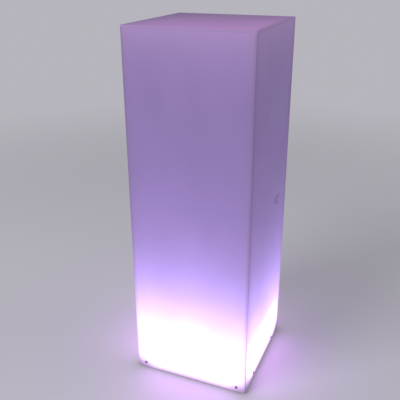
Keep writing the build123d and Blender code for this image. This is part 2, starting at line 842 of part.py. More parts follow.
tilt = radians(paddle_tilt)
paddle_half_length = (rocker_mouth_length / 2 - moving_gap - paddle_crease * sin(tilt)) * cos(tilt)
paddle_end = paddle_crease + paddle_half_length * tan(tilt)
paddle_plane = Plane(
    (rocker_at, pocket_y, pivot_level), x_dir=(0, cos(tilt), sin(tilt)), z_dir=(1, 0, 0)
)
with BuildPart() as rocker_paddle:
    with BuildSketch(paddle_plane):
        with BuildLine():
            Polyline(
                (-paddle_half_length, paddle_back),
                (-paddle_half_length, -paddle_end),
                (0, -paddle_crease),
                (paddle_half_length, -paddle_end),
                (paddle_half_length, paddle_back),
                close=True,
            )
        make_face()
        with Locations((0, paddle_back)):
            Rectangle(paddle_stem_width, paddle_stem_length, align=(Align.CENTER, Align.MIN))
    extrude(amount=rocker_mouth_width / 2 - moving_gap, both=True)
    with BuildSketch(paddle_plane):
        Circle(rocker_pin_radius)
    extrude(amount=rocker_pin_half, both=True)
rocker_paddle.part.label = "rocker_paddle"
export_step(rocker_paddle.part, "parts/rocker_paddle.step")

# Charging socket, held by its nut

socket_rim_face = plate_under - socket_rim_thickness
socket_top = plate_under + socket_length
with BuildPart() as charge_socket:
    with BuildSketch(Plane.XY.offset(socket_rim_face)):
        with Locations((socket_at, pocket_y)):
            Circle(socket_rim_radius)
    extrude(amount=socket_rim_thickness)
    fillet(charge_socket.faces().sort_by(Axis.Z)[0].edges(), arris)
    with BuildSketch(Plane.XY.offset(plate_under)):
        with Locations((socket_at, pocket_y)):
            Circle(socket_thread_radius)
    extrude(amount=socket_length)
    with BuildSketch(Plane.XY.offset(socket_rim_face)):
        with Locations((socket_at, pocket_y)):
            Circle(socket_bore_radius)
    extrude(amount=socket_bore_depth, mode=Mode.SUBTRACT)
    with BuildSketch(Plane.XY.offset(socket_rim_face)):
        with Locations((socket_at, pocket_y)):
            Circle(socket_pin_radius + seat_gap)
    extrude(amount=socket_bore_depth + socket_pin_seat, mode=Mode.SUBTRACT)
charge_socket.part.label = "charge_socket"
export_step(charge_socket.part, "parts/charge_socket.step")

with BuildPart() as socket_pin:
    with BuildSketch(Plane.XY.offset(socket_rim_face + socket_pin_setback)):
        with Locations((socket_at, pocket_y)):
            Circle(socket_pin_radius)
    extrude(amount=socket_bore_depth + socket_pin_seat - socket_pin_setback)
    fillet(socket_pin.faces().sort_by(Axis.Z)[0].edges(), arris)
socket_pin.part.label = "socket_pin"
export_step(socket_pin.part, "parts/socket_pin.step")

with BuildPart() as socket_lugs:
    with BuildSketch(Plane.XY.offset(socket_top)):
        with Locations((socket_at, pocket_y)):
            with GridLocations(0, terminal_pole, 1, 2):
                Rectangle(socket_lug_thickness, socket_lug_width)
    extrude(amount=socket_lug_length)
socket_lugs.part.label = "socket_lugs"
export_step(socket_lugs.part, "parts/socket_lugs.step")

with BuildPart() as socket_nut:
    with BuildSketch(Plane.XY.offset(plate_top)):
        with Locations((socket_at, pocket_y)):
            RegularPolygon(nut_across_flats / 2, 6, major_radius=False)
            Circle(socket_thread_radius + seat_gap, mode=Mode.SUBTRACT)
    extrude(amount=nut_thickness)
socket_nut.part.label = "socket_nut"
export_step(socket_nut.part, "parts/socket_nut.step")

with BuildPart() as socket_cap:
    with BuildSketch(Plane.XY.offset(socket_rim_face)):
        with Locations((socket_at, pocket_y)):
            Circle(cap_rim_radius)
    extrude(amount=-cap_rim_thickness)
    fillet(socket_cap.edges().sort_by(Axis.Z)[0], arris)
    with BuildSketch(Plane.XY.offset(socket_rim_face - cap_rim_thickness)):
        with Locations((socket_at, pocket_y)):
            RectangleRounded(cap_tab_length, cap_tab_width, cap_tab_round)
    extrude(amount=-cap_tab_height)
    with BuildSketch(Plane.XY.offset(socket_rim_face)):
        with Locations((socket_at, pocket_y)):
            Circle(socket_bore_radius - running_gap)
    extrude(amount=cap_plug_length)
    with BuildSketch(Plane.XY.offset(socket_rim_face + cap_plug_length)):
        with Locations((socket_at, pocket_y)):
            Circle(socket_pin_radius + running_gap)
    extrude(amount=-cap_plug_length, mode=Mode.SUBTRACT)
socket_cap.part.label = "socket_cap"
export_step(socket_cap.part, "parts/socket_cap.step")

# Mode button: a collar keeps it in the plate, and its stem lifts the plunger of the tact switch

button_face = plate_under - button_stand
collar_top = plate_top + button_collar_thickness
tact_bottom = circuit_under - tact_height
stem_top = tact_bottom - button_travel - tact_lift_gap
with BuildPart() as mode_button:
    with BuildSketch(Plane.XY.offset(button_face)):
        with Locations((button_at, pocket_y)):
            Circle(button_radius)
    extrude(amount=plate_top - button_face)
    fillet(mode_button.faces().sort_by(Axis.Z)[0].edges(), arris)
    with BuildSketch(Plane.XY.offset(plate_top)):
        with Locations((button_at, pocket_y)):
            Circle(button_collar_radius)
    extrude(amount=button_collar_thickness)
    with BuildSketch(Plane.XY.offset(collar_top)):
        with Locations((button_at, pocket_y)):
            Circle(button_stem_radius)
    extrude(amount=stem_top - collar_top)
mode_button.part.label = "mode_button"
export_step(mode_button.part, "parts/mode_button.step")

plunger_top = tact_bottom + plunger_seat
with BuildPart() as tact_plunger:
    with BuildSketch(Plane.XY.offset(stem_top)):
        with Locations((button_at, pocket_y)):
            Circle(plunger_radius)
    extrude(amount=plunger_top - stem_top)
tact_plunger.part.label = "tact_plunger"
export_step(tact_plunger.part, "parts/tact_plunger.step")

with BuildPart() as tact_switch:
    with BuildSketch(Plane.XY.offset(tact_bottom)):
        with Locations((button_at, pocket_y)):
            Rectangle(tact_size, tact_size)
    extrude(amount=tact_height)
    with BuildSketch(Plane.XY.offset(tact_bottom)):
        with Locations((button_at, pocket_y)):
            Circle(plunger_radius + running_gap)
    extrude(amount=plunger_seat + button_travel + moving_gap, mode=Mode.SUBTRACT)
tact_switch.part.label = "tact_switch"
export_step(tact_switch.part, "parts/tact_switch.step")

# Charge lamp: a light guide with a rounded tip below the plate and a collar above it

lamp_tip = plate_under - lamp_stand
lamp_top = circuit_under - lamp_chip_height - lamp_chip_gap
with BuildPart() as charge_lamp:
    with BuildSketch(Plane.XY.offset(lamp_tip)):
        with Locations((lamp_at, pocket_y)):
            Circle(lamp_radius)
    extrude(amount=lamp_top - lamp_tip)
    fillet(charge_lamp.faces().sort_by(Axis.Z)[0].edges(), lamp_stand)
    with BuildSketch(Plane.XY.offset(plate_top)):
        with Locations((lamp_at, pocket_y)):
            Circle(lamp_collar_radius)
    extrude(amount=lamp_collar_thickness)
charge_lamp.part.label = "charge_lamp"
export_step(charge_lamp.part, "parts/charge_lamp.step")

# Battery

cell_pitch = 2 * cell_radius + cell_gap
cell_row_front = battery_y - case_inside_width / 2 + cell_gap + cell_radius
cell_rows = [cell_row_front + row * cell_pitch for row in range(cells_across)]
cell_level = case_floor + cell_radius
cell_starts = (-link_thickness / 2 - cell_length, link_thickness / 2)
guard_y = battery_y + case_inside_width / 2 - grommet_flange_thickness - seat_gap - guard_board_thickness

with BuildPart() as battery_case:
    with BuildSketch(Plane.XY.offset(board_top)):
        with Locations((0, battery_y)):
            RectangleRounded(case_length, case_width, case_corner)
    extrude(amount=case_top - board_top)
    with BuildSketch(Plane.XY.offset(case_floor)):
        with Locations((0, battery_y)):
            Rectangle(case_inside_length, case_inside_width)
    extrude(amount=case_inside_height, mode=Mode.SUBTRACT)
    with Locations(Plane((circuit_middle, battery_y + case_width / 2, wire_level), z_dir=(0, 1, 0))):
        Hole(lead_radius + grommet_neck, depth=case_wall)
battery_case.part.label = "battery_case"
export_step(battery_case.part, "parts/battery_case.step")

with BuildPart() as battery_lid:
    with BuildSketch(Plane.XY.offset(case_top)):
        with Locations((0, battery_y)):
            RectangleRounded(case_length, case_width, case_corner)
    extrude(amount=lid_thickness)
    fillet(battery_lid.faces().sort_by(Axis.Z)[-1].edges(), arris)
battery_lid.part.label = "battery_lid"
export_step(battery_lid.part, "parts/battery_lid.step")

with BuildPart() as battery_cells:
    for start in cell_starts:
        with BuildSketch(Plane((start, 0, 0), x_dir=(0, 1, 0), z_dir=(1, 0, 0))):
            with Locations(*[(row, cell_level) for row in cell_rows]):
                Circle(cell_radius)
        extrude(amount=cell_length - cell_button_height)
        with BuildSketch(
            Plane((start + cell_length - cell_button_height, 0, 0), x_dir=(0, 1, 0), z_dir=(1, 0, 0))
        ):
            with Locations(*[(row, cell_level) for row in cell_rows]):
                Circle(cell_button_radius)
        extrude(amount=cell_button_height)
battery_cells.part.label = "battery_cells"
export_step(battery_cells.part, "parts/battery_cells.step")

link_starts = (
    -link_thickness / 2,
    link_thickness / 2 + cell_length,
    -link_thickness * 3 / 2 - cell_length,
)
with BuildPart() as cell_links:
    for start in link_starts:
        with BuildSketch(Plane((start, 0, 0), x_dir=(0, 1, 0), z_dir=(1, 0, 0))):
            with Locations((cell_rows[cells_across // 2], cell_level)):
                Rectangle((cells_across - 1) * cell_pitch + link_height, link_height)
        extrude(amount=link_thickness)
cell_links.part.label = "cell_links"
export_step(cell_links.part, "parts/cell_links.step")

with BuildPart() as cell_guard_board:
    with BuildSketch(Plane.XY.offset(case_floor)):
        with Locations((0, guard_y)):
            Rectangle(guard_board_length, guard_board_thickness, align=(Align.CENTER, Align.MIN))
    extrude(amount=guard_board_height)
    with BuildSketch(Plane.XY.offset(case_floor + guard_board_height / 2)):
        with Locations((0, guard_y)):
            with GridLocations(guard_chip_pitch, 0, guard_chip_count, 1):
                Rectangle(guard_chip_length, guard_chip_thickness, align=(Align.CENTER, Align.MAX))
    extrude(amount=guard_chip_height)
cell_guard_board.part.label = "cell_guard_board"
export_step(cell_guard_board.part, "parts/cell_guard_board.step")

# Each clamp is a strip of sheet: foot on the board, up the end of the case, lip over the lid

clamp_top = case_top + lid_thickness
with BuildPart() as battery_clamps:
    for way in (-1, 1):
        inner = way * clamp_inner
        outer = way * (clamp_inner + clamp_thickness)
        with BuildSketch(Plane.XZ.offset(-battery_y)):
            with BuildLine():
                Polyline(
                    (outer + way * clamp_foot, board_top),
                    (outer + way * clamp_foot, board_top + clamp_thickness),
                    (outer, board_top + clamp_thickness),
                    (outer, clamp_top + clamp_thickness),
                    (inner - way * clamp_lip, clamp_top + clamp_thickness),
                    (inner - way * clamp_lip, clamp_top),
                    (inner, clamp_top),
                    (inner, board_top),
                    close=True,
                )
            make_face()
        extrude(amount=clamp_width / 2, both=True)
    with Locations(Plane((0, battery_y, board_top + clamp_thickness))):
        with Locations(*clamp_screw_places):
            Hole(box_screw.shank_radius + hole_gap, depth=clamp_thickness)
battery_clamps.part.label = "battery_clamps"
export_step(battery_clamps.part, "parts/battery_clamps.step")

with BuildPart() as clamp_screws:
    with Locations(Plane((0, battery_y, board_top + clamp_thickness))):
        with Locations(*clamp_screw_places):
            add(box_screw_shape)
clamp_screws.part.label = "clamp_screws"
export_step(clamp_screws.part, "parts/clamp_screws.step")

# Leads: the battery lead is a straight run from the guard board to the circuit board, and the
# feed lead goes from the plug along the right rail into the housing; both pass through grommets

battery_lead_start = guard_y + guard_board_thickness
battery_lead_end = battery_terminal_y - terminal_depth / 2
with BuildPart() as battery_lead:
    with BuildSketch(Plane((circuit_middle, battery_lead_start, wire_level), z_dir=(0, 1, 0))):
        Circle(lead_radius)
    extrude(amount=battery_lead_end - battery_lead_start)
battery_lead.part.label = "battery_lead"
export_step(battery_lead.part, "parts/battery_lead.step")

feed_lead_points = [
    (feed_x, plug_face_y, feed_level),
    (feed_x, feed_bend_y, feed_level),
    (housing_length / 2 + feed_exit_run, pocket_y, wire_level),
    (circuit_right, pocket_y, wire_level),
]
print("feed lead bends, mm:", [round(bend, 1) for bend in bend_radii(feed_lead_points)])
feed_lead_shape = round_lead(feed_lead_points, lead_radius)
with BuildPart() as feed_lead:
    add(feed_lead_shape)
feed_lead.part.label = "feed_lead"
export_step(feed_lead.part, "parts/feed_lead.step")

# Thin wires inside the housing: switch tabs to the outer terminals, socket lugs to the inner ones

tab_wire_x = rocker_at + tab_thickness / 2
lug_wire_x = socket_at + socket_lug_thickness / 2
lug_wire_level = socket_top + socket_lug_length / 2
wire_end_x = circuit_left + terminal_depth / 2
inner_wire_shapes = []
for way in (-1, 1):
    tab_y = pocket_y + way * tab_spread / 2
    outer_pole_y = pocket_y + way * pole_places[-1]
    inner_pole_y = pocket_y + way * pole_places[-2]
    tab_wire_points = [
        (tab_wire_x, tab_y, switch_wire_level),
        (tab_wire_x + wire_run, tab_y, switch_wire_level),
        (lug_wire_x, outer_pole_y, switch_wire_level),
        (circuit_left - wire_lead_in, outer_pole_y, wire_level),
        (wire_end_x, outer_pole_y, wire_level),
    ]
    lug_wire_points = [
        (lug_wire_x, inner_pole_y, lug_wire_level),
        (lug_wire_x + wire_lead_in, inner_pole_y, lug_wire_level),
        (circuit_left - wire_lead_in, inner_pole_y, wire_level),
        (wire_end_x, inner_pole_y, wire_level),
    ]
    inner_wire_shapes.append(round_lead(tab_wire_points, wire_radius))
    inner_wire_shapes.append(round_lead(lug_wire_points, wire_radius))
with BuildPart() as inner_wires:
    for shape in inner_wire_shapes:
        add(shape)
inner_wires.part.label = "inner_wires"
export_step(inner_wires.part, "parts/inner_wires.step")


def grommet(wall):
    """A rubber bush on +Z: its neck fills a hole in the wall, with a flange on each face."""
    with BuildPart() as bush:
        for level in (-wall - grommet_flange_thickness, 0):
            with BuildSketch(Plane.XY.offset(level)):
                Circle(lead_radius + grommet_neck + grommet_flange)
            extrude(amount=grommet_flange_thickness)
        with BuildSketch(Plane.XY.offset(-wall)):
            Circle(lead_radius + grommet_neck - seat_gap)
        extrude(amount=wall)
        Hole(lead_radius + seat_gap)
    return bush.part


housing_grommet = grommet(housing_wall)
case_grommet = grommet(case_wall)
with BuildPart() as lead_grommets:
    with Locations(
        Plane((housing_length / 2, pocket_y, wire_level), z_dir=(1, 0, 0)),
        Plane((circuit_middle, pocket_y - housing_width / 2, wire_level), z_dir=(0, -1, 0)),
    ):
        add(housing_grommet)
    with Locations(Plane((circuit_middle, battery_y + case_width / 2, wire_level), z_dir=(0, 1, 0))):
        add(case_grommet)
lead_grommets.part.label = "lead_grommets"
export_step(lead_grommets.part, "parts/lead_grommets.step")

# Clips: a saddle over the feed lead and a tab screwed to the board

with BuildPart() as lead_clips:
    for row in clip_rows:
        with BuildSketch(Plane.XZ.offset(-row)):
            with Locations((feed_x, feed_level)):
                Circle(lead_radius + clip_wall)
            with Locations((feed_x, board_top)):
                Rectangle(2 * (lead_radius + clip_wall), lead_radius, align=(Align.CENTER, Align.MIN))
            with Locations((feed_x - lead_radius, board_top)):
                Rectangle(clip_wall + clip_tab, clip_tab_thickness, align=(Align.MAX, Align.MIN))
            with Locations((feed_x, feed_level)):
                Circle(lead_radius + seat_gap, mode=Mode.SUBTRACT)
            with Locations((feed_x, board_top)):
                Rectangle(
                    2 * (lead_radius + seat_gap),
                    lead_radius,
                    align=(Align.CENTER, Align.MIN),
                    mode=Mode.SUBTRACT,
                )
            with Locations((0, board_top)):
                Rectangle(
                    cover_width, lead_radius + clip_wall, align=(Align.CENTER, Align.MAX), mode=Mode.SUBTRACT
                )
        extrude(amount=clip_width / 2, both=True)
    with Locations(Plane((clip_screw_x, 0, board_top + clip_tab_thickness))):
        with Locations(*[(0, row) for row in clip_rows]):
            Hole(rail_screw.shank_radius + hole_gap, depth=clip_tab_thickness)
            Cone(
                rail_screw.shank_radius + seat_gap,
                rail_screw.head_radius + seat_gap,
                rail_screw.head_height,
                align=(Align.CENTER, Align.CENTER, Align.MAX),
                mode=Mode.SUBTRACT,
            )
lead_clips.part.label = "lead_clips"
export_step(lead_clips.part, "parts/lead_clips.step")

with BuildPart() as clip_screws:
    with Locations(Plane((clip_screw_x, 0, board_top + clip_tab_thickness))):
        with Locations(*[(0, row) for row in clip_rows]):
            add(rail_screw_shape)
clip_screws.part.label = "clip_screws"
export_step(clip_screws.part, "parts/clip_screws.step")
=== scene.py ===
# %% [markdown]
# # Dressing a light-up plinth
#
# The object is a tall square plinth for shows and receptions. Five sheets of opal acrylic make a
# cover that is screwed to a base board, and a ring of light chips inside washes the sheets from
# below, so that the foot glows white and the rest fades to violet.
#
# The shapes come ready made from the CAD model. This lesson gives them their finishes, adds the
# small repeated parts that a maker buys rather than draws, and sets up the floor, lamps and camera.

import json
from math import cos, exp, pi, radians, sin, tan

import bmesh
import bpy
from mathutils import Matrix, Vector


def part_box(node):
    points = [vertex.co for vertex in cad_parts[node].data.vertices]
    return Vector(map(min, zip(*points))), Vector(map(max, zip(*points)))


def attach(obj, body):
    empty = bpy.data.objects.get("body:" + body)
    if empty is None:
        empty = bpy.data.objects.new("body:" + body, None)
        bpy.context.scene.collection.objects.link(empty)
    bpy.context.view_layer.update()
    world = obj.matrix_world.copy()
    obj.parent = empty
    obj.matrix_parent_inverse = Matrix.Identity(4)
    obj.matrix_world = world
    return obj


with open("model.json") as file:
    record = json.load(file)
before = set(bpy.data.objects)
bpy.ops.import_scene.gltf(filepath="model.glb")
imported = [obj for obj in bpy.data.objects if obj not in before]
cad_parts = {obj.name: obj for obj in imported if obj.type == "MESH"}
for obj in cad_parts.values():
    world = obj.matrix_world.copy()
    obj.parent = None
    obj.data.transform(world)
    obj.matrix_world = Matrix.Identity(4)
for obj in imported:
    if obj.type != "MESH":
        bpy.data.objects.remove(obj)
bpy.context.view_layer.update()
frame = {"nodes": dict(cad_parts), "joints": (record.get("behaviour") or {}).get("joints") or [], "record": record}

# %% [markdown]
# ## Sizes to work from
#
# Every pattern below is placed in metres, in the frame that the CAD model uses. Reading the sizes
# from the model, rather than typing them again, keeps the patterns on their pieces.

# %% Read the sizes
MM = 0.001
front_low, front_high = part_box("front_panel")
lid_low, lid_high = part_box("top_panel")
half_width = front_high.x
sheet = lid_high.z - lid_low.z
rim_height = front_low.z
plinth_height = lid_high.z
print("plinth", round(2 * half_width, 4), "x", round(plinth_height, 4), "m, sheet", round(sheet, 4))

# %% [markdown]
# ## A short way to write node networks
#
# A finish is a small network of nodes, and so is a pattern of repeated parts. Wiring each one by
# hand takes many lines, so a few small classes do the clerical work. The first, `Value`, wraps a
# socket: a sum of values in Python adds the Math nodes for it, or Vector Math where a colour takes
# part, because a Math node would turn the colour grey.

# %% Wrap sockets so that they can be added and multiplied
class Value:
    """An output socket that can stand in a Python expression."""

    def __init__(self, network, socket):
        self.network = network
        self.socket = socket

    def combine(self, operation, first, second):
        """Joins two sides with a Math node, or with Vector Math if a colour is among them."""
        plain = [is_number(side) for side in (first, second)]
        kind = "ShaderNodeMath" if all(plain) else "ShaderNodeVectorMath"
        sockets = {0: first, 1: second}
        if operation == "MULTIPLY" and plain[0] != plain[1]:
            number, colour = (first, second) if plain[0] else (second, first)
            operation = "SCALE"
            sockets = {"Vector": colour, "Scale": number}
        elif not all(plain):
            sockets = {place: as_colour(side) for place, side in sockets.items()}
        return self.network.node(kind, {"operation": operation}, sockets)

    def alone(self, operation):
        """A Math node with one side only."""
        return self.network.node("ShaderNodeMath", {"operation": operation}, {0: self})

    def __add__(self, other):
        return self.combine("ADD", self, other)

    def __radd__(self, other):
        return self.combine("ADD", other, self)

    def __sub__(self, other):
        return self.combine("SUBTRACT", self, other)

    def __rsub__(self, other):
        return self.combine("SUBTRACT", other, self)

    def __mul__(self, other):
        return self.combine("MULTIPLY", self, other)

    def __rmul__(self, other):
        return self.combine("MULTIPLY", other, self)

    def __truediv__(self, other):
        return self.combine("DIVIDE", self, other)

    def least(self, other):
        return self.combine("MINIMUM", self, other)

    def most(self, other):
        return self.combine("MAXIMUM", self, other)

    def size(self):
        return self.alone("ABSOLUTE")

    def exponential(self):
        return self.alone("EXPONENT")

    def root(self):
        return self.alone("SQRT")

    def length(self):
        """How far a place is from the origin."""
        length = {"operation": "LENGTH"}
        return self.network.node("ShaderNodeVectorMath", length, {0: self}, "Value")

    def step(self, start, end):
        """0 at start and 1 at end, with a soft run between. Start may be the larger one."""
        return self.network.node(
            "ShaderNodeMapRange",
            {"interpolation_type": "SMOOTHSTEP"},
            {"Value": self, "From Min": start, "From Max": end},
        )


def is_number(side):
    """True for a plain number and for a Value that carries one."""
    if isinstance(side, Value):
        return side.socket.type in ("VALUE", "INT")
    return isinstance(side, (int, float))


def as_colour(side):
    """A plain number that meets a colour acts on all three parts of it."""
    return (side,) * 3 if isinstance(side, (int, float)) else side


print("sockets can be added and multiplied")

# %% [markdown]
# A noise, a ramp or a shader is no sum, so it can't come from an expression. `Network` adds any
# such node through one method, which sets the node's settings before its sockets, because some
# settings change which sockets a node has.

# %% Add any other node through one method
class Network:
    """A node tree in the making."""

    def node(self, kind, settings=None, sockets=None, output=0):
        """Adds a node: its settings first, then its sockets' values or links."""
        node = self.tree.nodes.new(kind)
        for name, setting in (settings or {}).items():
            if name == "stops":
                set_stops(node.color_ramp, setting)
            else:
                setattr(node, name, setting)
        for name, value in (sockets or {}).items():
            if isinstance(value, Value):
                self.tree.links.new(value.socket, node.inputs[name])
            else:
                node.inputs[name].default_value = value
        return Value(self, node.outputs[output]) if node.outputs else None

    def seen(self):
        """1 for a ray from the camera, or one reflected or let through, and 0 for other light."""
        camera, glossy, through = (
            self.node("ShaderNodeLightPath", output=f"Is {kind} Ray")
            for kind in ("Camera", "Glossy", "Transmission")
        )
        return camera.most(glossy).most(through)


def opaque(colour):
    """A colour of three numbers gets its alpha. A Value stays as it is."""
    return colour if isinstance(colour, Value) else (*colour, 1.0)


def set_stops(ramp, stops):
    """Gives a colour ramp hard stops, each a position and a colour."""
    ramp.interpolation = "CONSTANT"
    while len(ramp.elements) < len(stops):
        ramp.elements.new(1.0)
    for element, (position, colour) in zip(ramp.elements, stops):
        element.position = position
        element.color = opaque(colour)


print("any other node comes from Network.node")

# %% [markdown]
# `Finish` is a network that ends in a Principled shader. It starts from Object coordinates, which
# are metres in the CAD model's own frame. Painted maps would need an unwrapped mesh and a picture
# file. A pattern worked out from the place needs neither, and it stays sharp at any distance.

# %% Hold one material
class Finish(Network):
    """A material in the making, with its place on the piece in metres."""

    def __init__(self, name):
        self.material = bpy.data.materials.new(name)
        self.material.use_nodes = True
        self.tree = self.material.node_tree
        self.tree.nodes.clear()
        self.place = self.node("ShaderNodeTexCoord", output="Object")
        self.x, self.y, self.z = (
            self.node("ShaderNodeSeparateXYZ", sockets={0: self.place}, output=axis)
            for axis in "XYZ"
        )

    def drawn_out(self, factors):
        """The place, for a pattern drawn out along the axes that get a small factor."""
        return self.node("ShaderNodeMapping", sockets={"Vector": self.place, "Scale": factors})

    def noise(self, scale, detail=3.0, where=None):
        """Cloudy noise from about 0 to 1. The scale is in blotches to the metre."""
        sockets = {"Vector": where or self.place, "Scale": scale, "Detail": detail}
        return self.node("ShaderNodeTexNoise", sockets=sockets)

    def mix(self, share, first, second):
        """A colour between two."""
        sockets = {0: share, 6: opaque(first), 7: opaque(second)}
        return self.node("ShaderNodeMix", {"data_type": "RGBA"}, sockets, output=2)

    def bump(self, height, depth):
        """A surface normal for a relief of that depth in metres."""
        return self.node("ShaderNodeBump", sockets={"Height": height, "Distance": depth})

    def surface(self, **sockets):
        """Ends the material in a Principled shader, and returns the material."""
        named = {}
        for name, value in sockets.items():
            socket = name.replace("_", " ")
            named[socket] = opaque(value) if socket.endswith("Color") else value
        shader = self.node("ShaderNodeBsdfPrincipled", sockets=named)
        self.node("ShaderNodeOutputMaterial", sockets={"Surface": shader})
        return self.material


finishes = {}
print("finishes start from Object coordinates")

# %% [markdown]
# ## Opal acrylic, lit from inside
#
# The chips stand in a ring at the foot, 25 mm inside the walls, so a sheet gets most of its light
# low down. Going up, that light fades by the same share in each equal step, which is an
# exponential curve. Violet light that grows this way fills blue first, then red, then green, so a
# picture shows violet, then a pink fringe, then white. Adding the light up and holding each colour
# at a limit gives all three zones from one curve, with no painted bands.
#
# The light goes into the shader's emission, and the sheet's own colour stays fairly deep, so that
# the studio lamps add only their soft shading and gloss to it.

# %% The light's sizes and colours
sheet_colour = (0.150, 0.108, 0.232)
lamp_violet = (1.43, 1.00, 2.65)
body_light = (0.105, 0.072, 0.178)
lid_light = (0.115, 0.066, 0.085)
foot_light = (1.50, 1.02, 1.70)
light_limit = (1.40, 1.04, 2.00)
band_limit = (3.30, 1.55, 4.00)
edge_limit = (1.03, 0.81, 1.09)
light_peak = max(band_limit)

# The glow fades upwards from its level at the mark. Front and back run along x, the sides along y
glow_mark = 193 * MM
glow_at_mark = 0.71
glow_fade = {"x": 116 * MM, "y": 125 * MM}
lid_fade = 60 * MM
higher = glow_at_mark * exp(-glow_mark / glow_fade["x"])
print("glow at the mark", glow_at_mark, "and twice as high up", round(higher, 3))

# %% [markdown]
# The sheets are bonded with clear cement. Where two meet, a thin darker line shows through, and
# where a sheet ends, its sawn and scraped edge looks flatter and duller than its face. Neither
# needs a shape of its own: both are found from how far a place is from the plinth's outside.

# %% Find the seams and the cut edges
seam_reach = 1.0 * MM
edge_start = half_width - 0.35 * MM
edge_end = half_width - 0.15 * MM


def near(value, middle, reach):
    """1 where the value is at the middle, and 0 from reach on."""
    return (value - middle).size().step(reach, 0.3 * reach)


def glue_lines(finish):
    """The bonded joints: under the lid, and where a side wall meets the front or back."""
    under_lid = near(finish.z, plinth_height - sheet, seam_reach)
    at_corner = near(finish.y.size(), half_width - sheet, seam_reach)
    on_outside = finish.x.size().step(half_width - 0.4 * MM, half_width - 0.2 * MM)
    return under_lid.most(at_corner * on_outside)


print("seams at", round(half_width - sheet, 4), "m and", round(plinth_height - sheet, 4), "m up")

# %% [markdown]
# Cast acrylic is never quite flat: its face has a long, shallow wave, and cloths leave faint marks
# that run upwards. All five sheets share this surface, so one function ends every opal finish.

# %% The surface that every sheet shares
def opal_surface(finish, colour, light, roughness):
    """A satin opal sheet: a slight casting wave, and wipe marks that run upwards."""
    wipes = finish.noise(1.0, 4.0, finish.drawn_out((260, 260, 14)))
    wave = finish.noise(9.0, 2.0) + 0.04 * wipes
    return finish.surface(
        Base_Color=colour,
        Roughness=roughness + 0.12 * wipes,
        IOR=1.49,
        Specular_IOR_Level=0.15,
        Emission_Color=light * (1 / light_peak),
        Emission_Strength=light_peak,
        Normal=finish.bump(wave, 0.5 * MM),
    )


print("brightest emission", light_peak)

# %% [markdown]
# A wall's light is the sum of three: the glow of the chips below, a little that the lid throws
# back down, and an even remainder that has bounced about inside. The glow stands highest in the
# middle of a wall and sinks towards its corners, as the strips end before them. A painted map
# would do for one wall, but sums of distances do for all four. `Wall` keeps these distances.

# %% Add up the light of one wall
class Wall(Finish):
    """The finish of an upright sheet. Level is its share of the light that the front gives off."""

    def __init__(self, name, along_axis, level):
        super().__init__(name)
        self.level = level
        self.fade = glow_fade[along_axis]
        self.along = getattr(self, along_axis)
        self.reach = self.along.size()
        self.share = self.reach / half_width
        self.cut_edge = self.reach.step(edge_start, edge_end)
        self.clouds = self.noise(7.0, 3.0, self.drawn_out((1, 1, 0.55)))


def chip_glow(wall, hump):
    """The glow of the chips, which fades upwards."""
    arch = 1.02 - 0.18 * (wall.share * wall.share + 0.02).root()
    if hump:
        beside = (wall.along - hump["middle"]).size()
        arch = arch - hump["dip"] + hump["rise"] * beside.step(hump["reach"], 0)
    rise = ((glow_mark - wall.z) / wall.fade).exponential()
    ripple = 0.88 + 0.24 * wall.noise(11.0, 2.0)
    return lamp_violet * (rise * arch * ripple * (glow_at_mark * wall.level))


def wall_light(wall, hump):
    """All the light of a wall, brightest straight in front of the chips."""
    lid_glow = lid_light * (((wall.z - plinth_height) / lid_fade).exponential() * wall.level)
    body = body_light * (wall.level * (0.84 + 0.32 * wall.clouds))
    in_front = wall.z.step(14 * MM, 34 * MM) * wall.z.step(150 * MM, 90 * MM)
    in_front = in_front * wall.reach.step(half_width - 10 * MM, half_width - 60 * MM)
    limit = wall.mix(in_front, wall.mix(wall.cut_edge, light_limit, edge_limit), band_limit)
    return (chip_glow(wall, hump) * (1 + in_front) + lid_glow + body).least(limit)


print("glow falls to", round(exp(-1), 2), "of itself in every", glow_fade["x"], "m up the front")

# %% [markdown]
# The base board stands behind the lowest 18 mm of the walls and shades them. The light ring leaves
# the plinth's corners open, and there the light reaches further down. So the dark foot is high in
# the middle of a wall and low at its ends, and it fades out upwards without a line.

# %% Shade the foot of a wall
corner_reach = 60 * MM


def over_dark_foot(wall, light, low_fade, high_fade):
    """The light, with the foot darkened up to low_fade at the ends and high_fade between them."""
    corner = (half_width - wall.reach).step(0.0, corner_reach)
    dark_foot = foot_light * ((0.20 + 0.24 * corner) * wall.level)
    fade_end = (rim_height + high_fade) - (high_fade - low_fade) * corner
    foot = wall.z.step(rim_height, fade_end + corner_reach * wall.cut_edge)
    return wall.mix(foot, dark_foot, light)


print("the walls' rim is", round(rim_height, 4), "m above the floor")

# %% [markdown]
# Two strokes on the right wall, half way up, are darker and duller than the rest. A stroke is an ellipse on
# the wall: a Mapping node of the Texture type moves, turns and scales the place so that it becomes
# a round of size 1 about the origin, and the distance then gives its shape.

# %% Draw a dark stroke
def dark_stroke(finish, middle, height, reach, turn):
    """A stroke on the right wall, reach long to each side and a third of that high."""
    place = finish.node(
        "ShaderNodeMapping",
        {"vector_type": "TEXTURE"},
        {
            "Vector": finish.place,
            "Location": (half_width, middle, height),
            "Rotation": (radians(turn), 0, 0),
            "Scale": (1, reach, 0.30 * reach),
        },
    )
    patchy = 0.75 + 0.25 * finish.noise(160.0, 3.0).step(0.35, 0.60)
    return place.length().step(1.0, 0.25) * patchy


right_strokes = ((68 * MM, 464 * MM, 37 * MM, -3), (60 * MM, 455 * MM, 31 * MM, -21))
print("rubbed strokes:", len(right_strokes))

# %% [markdown]
# Towards a corner the light has crossed a second sheet as well, so it turns warmer and weaker. The
# front and back cover the edges of the sides, so there this zone is narrow. One function makes all
# four walls, each with its own level. The right one also gets the strokes, and a hump in its glow.

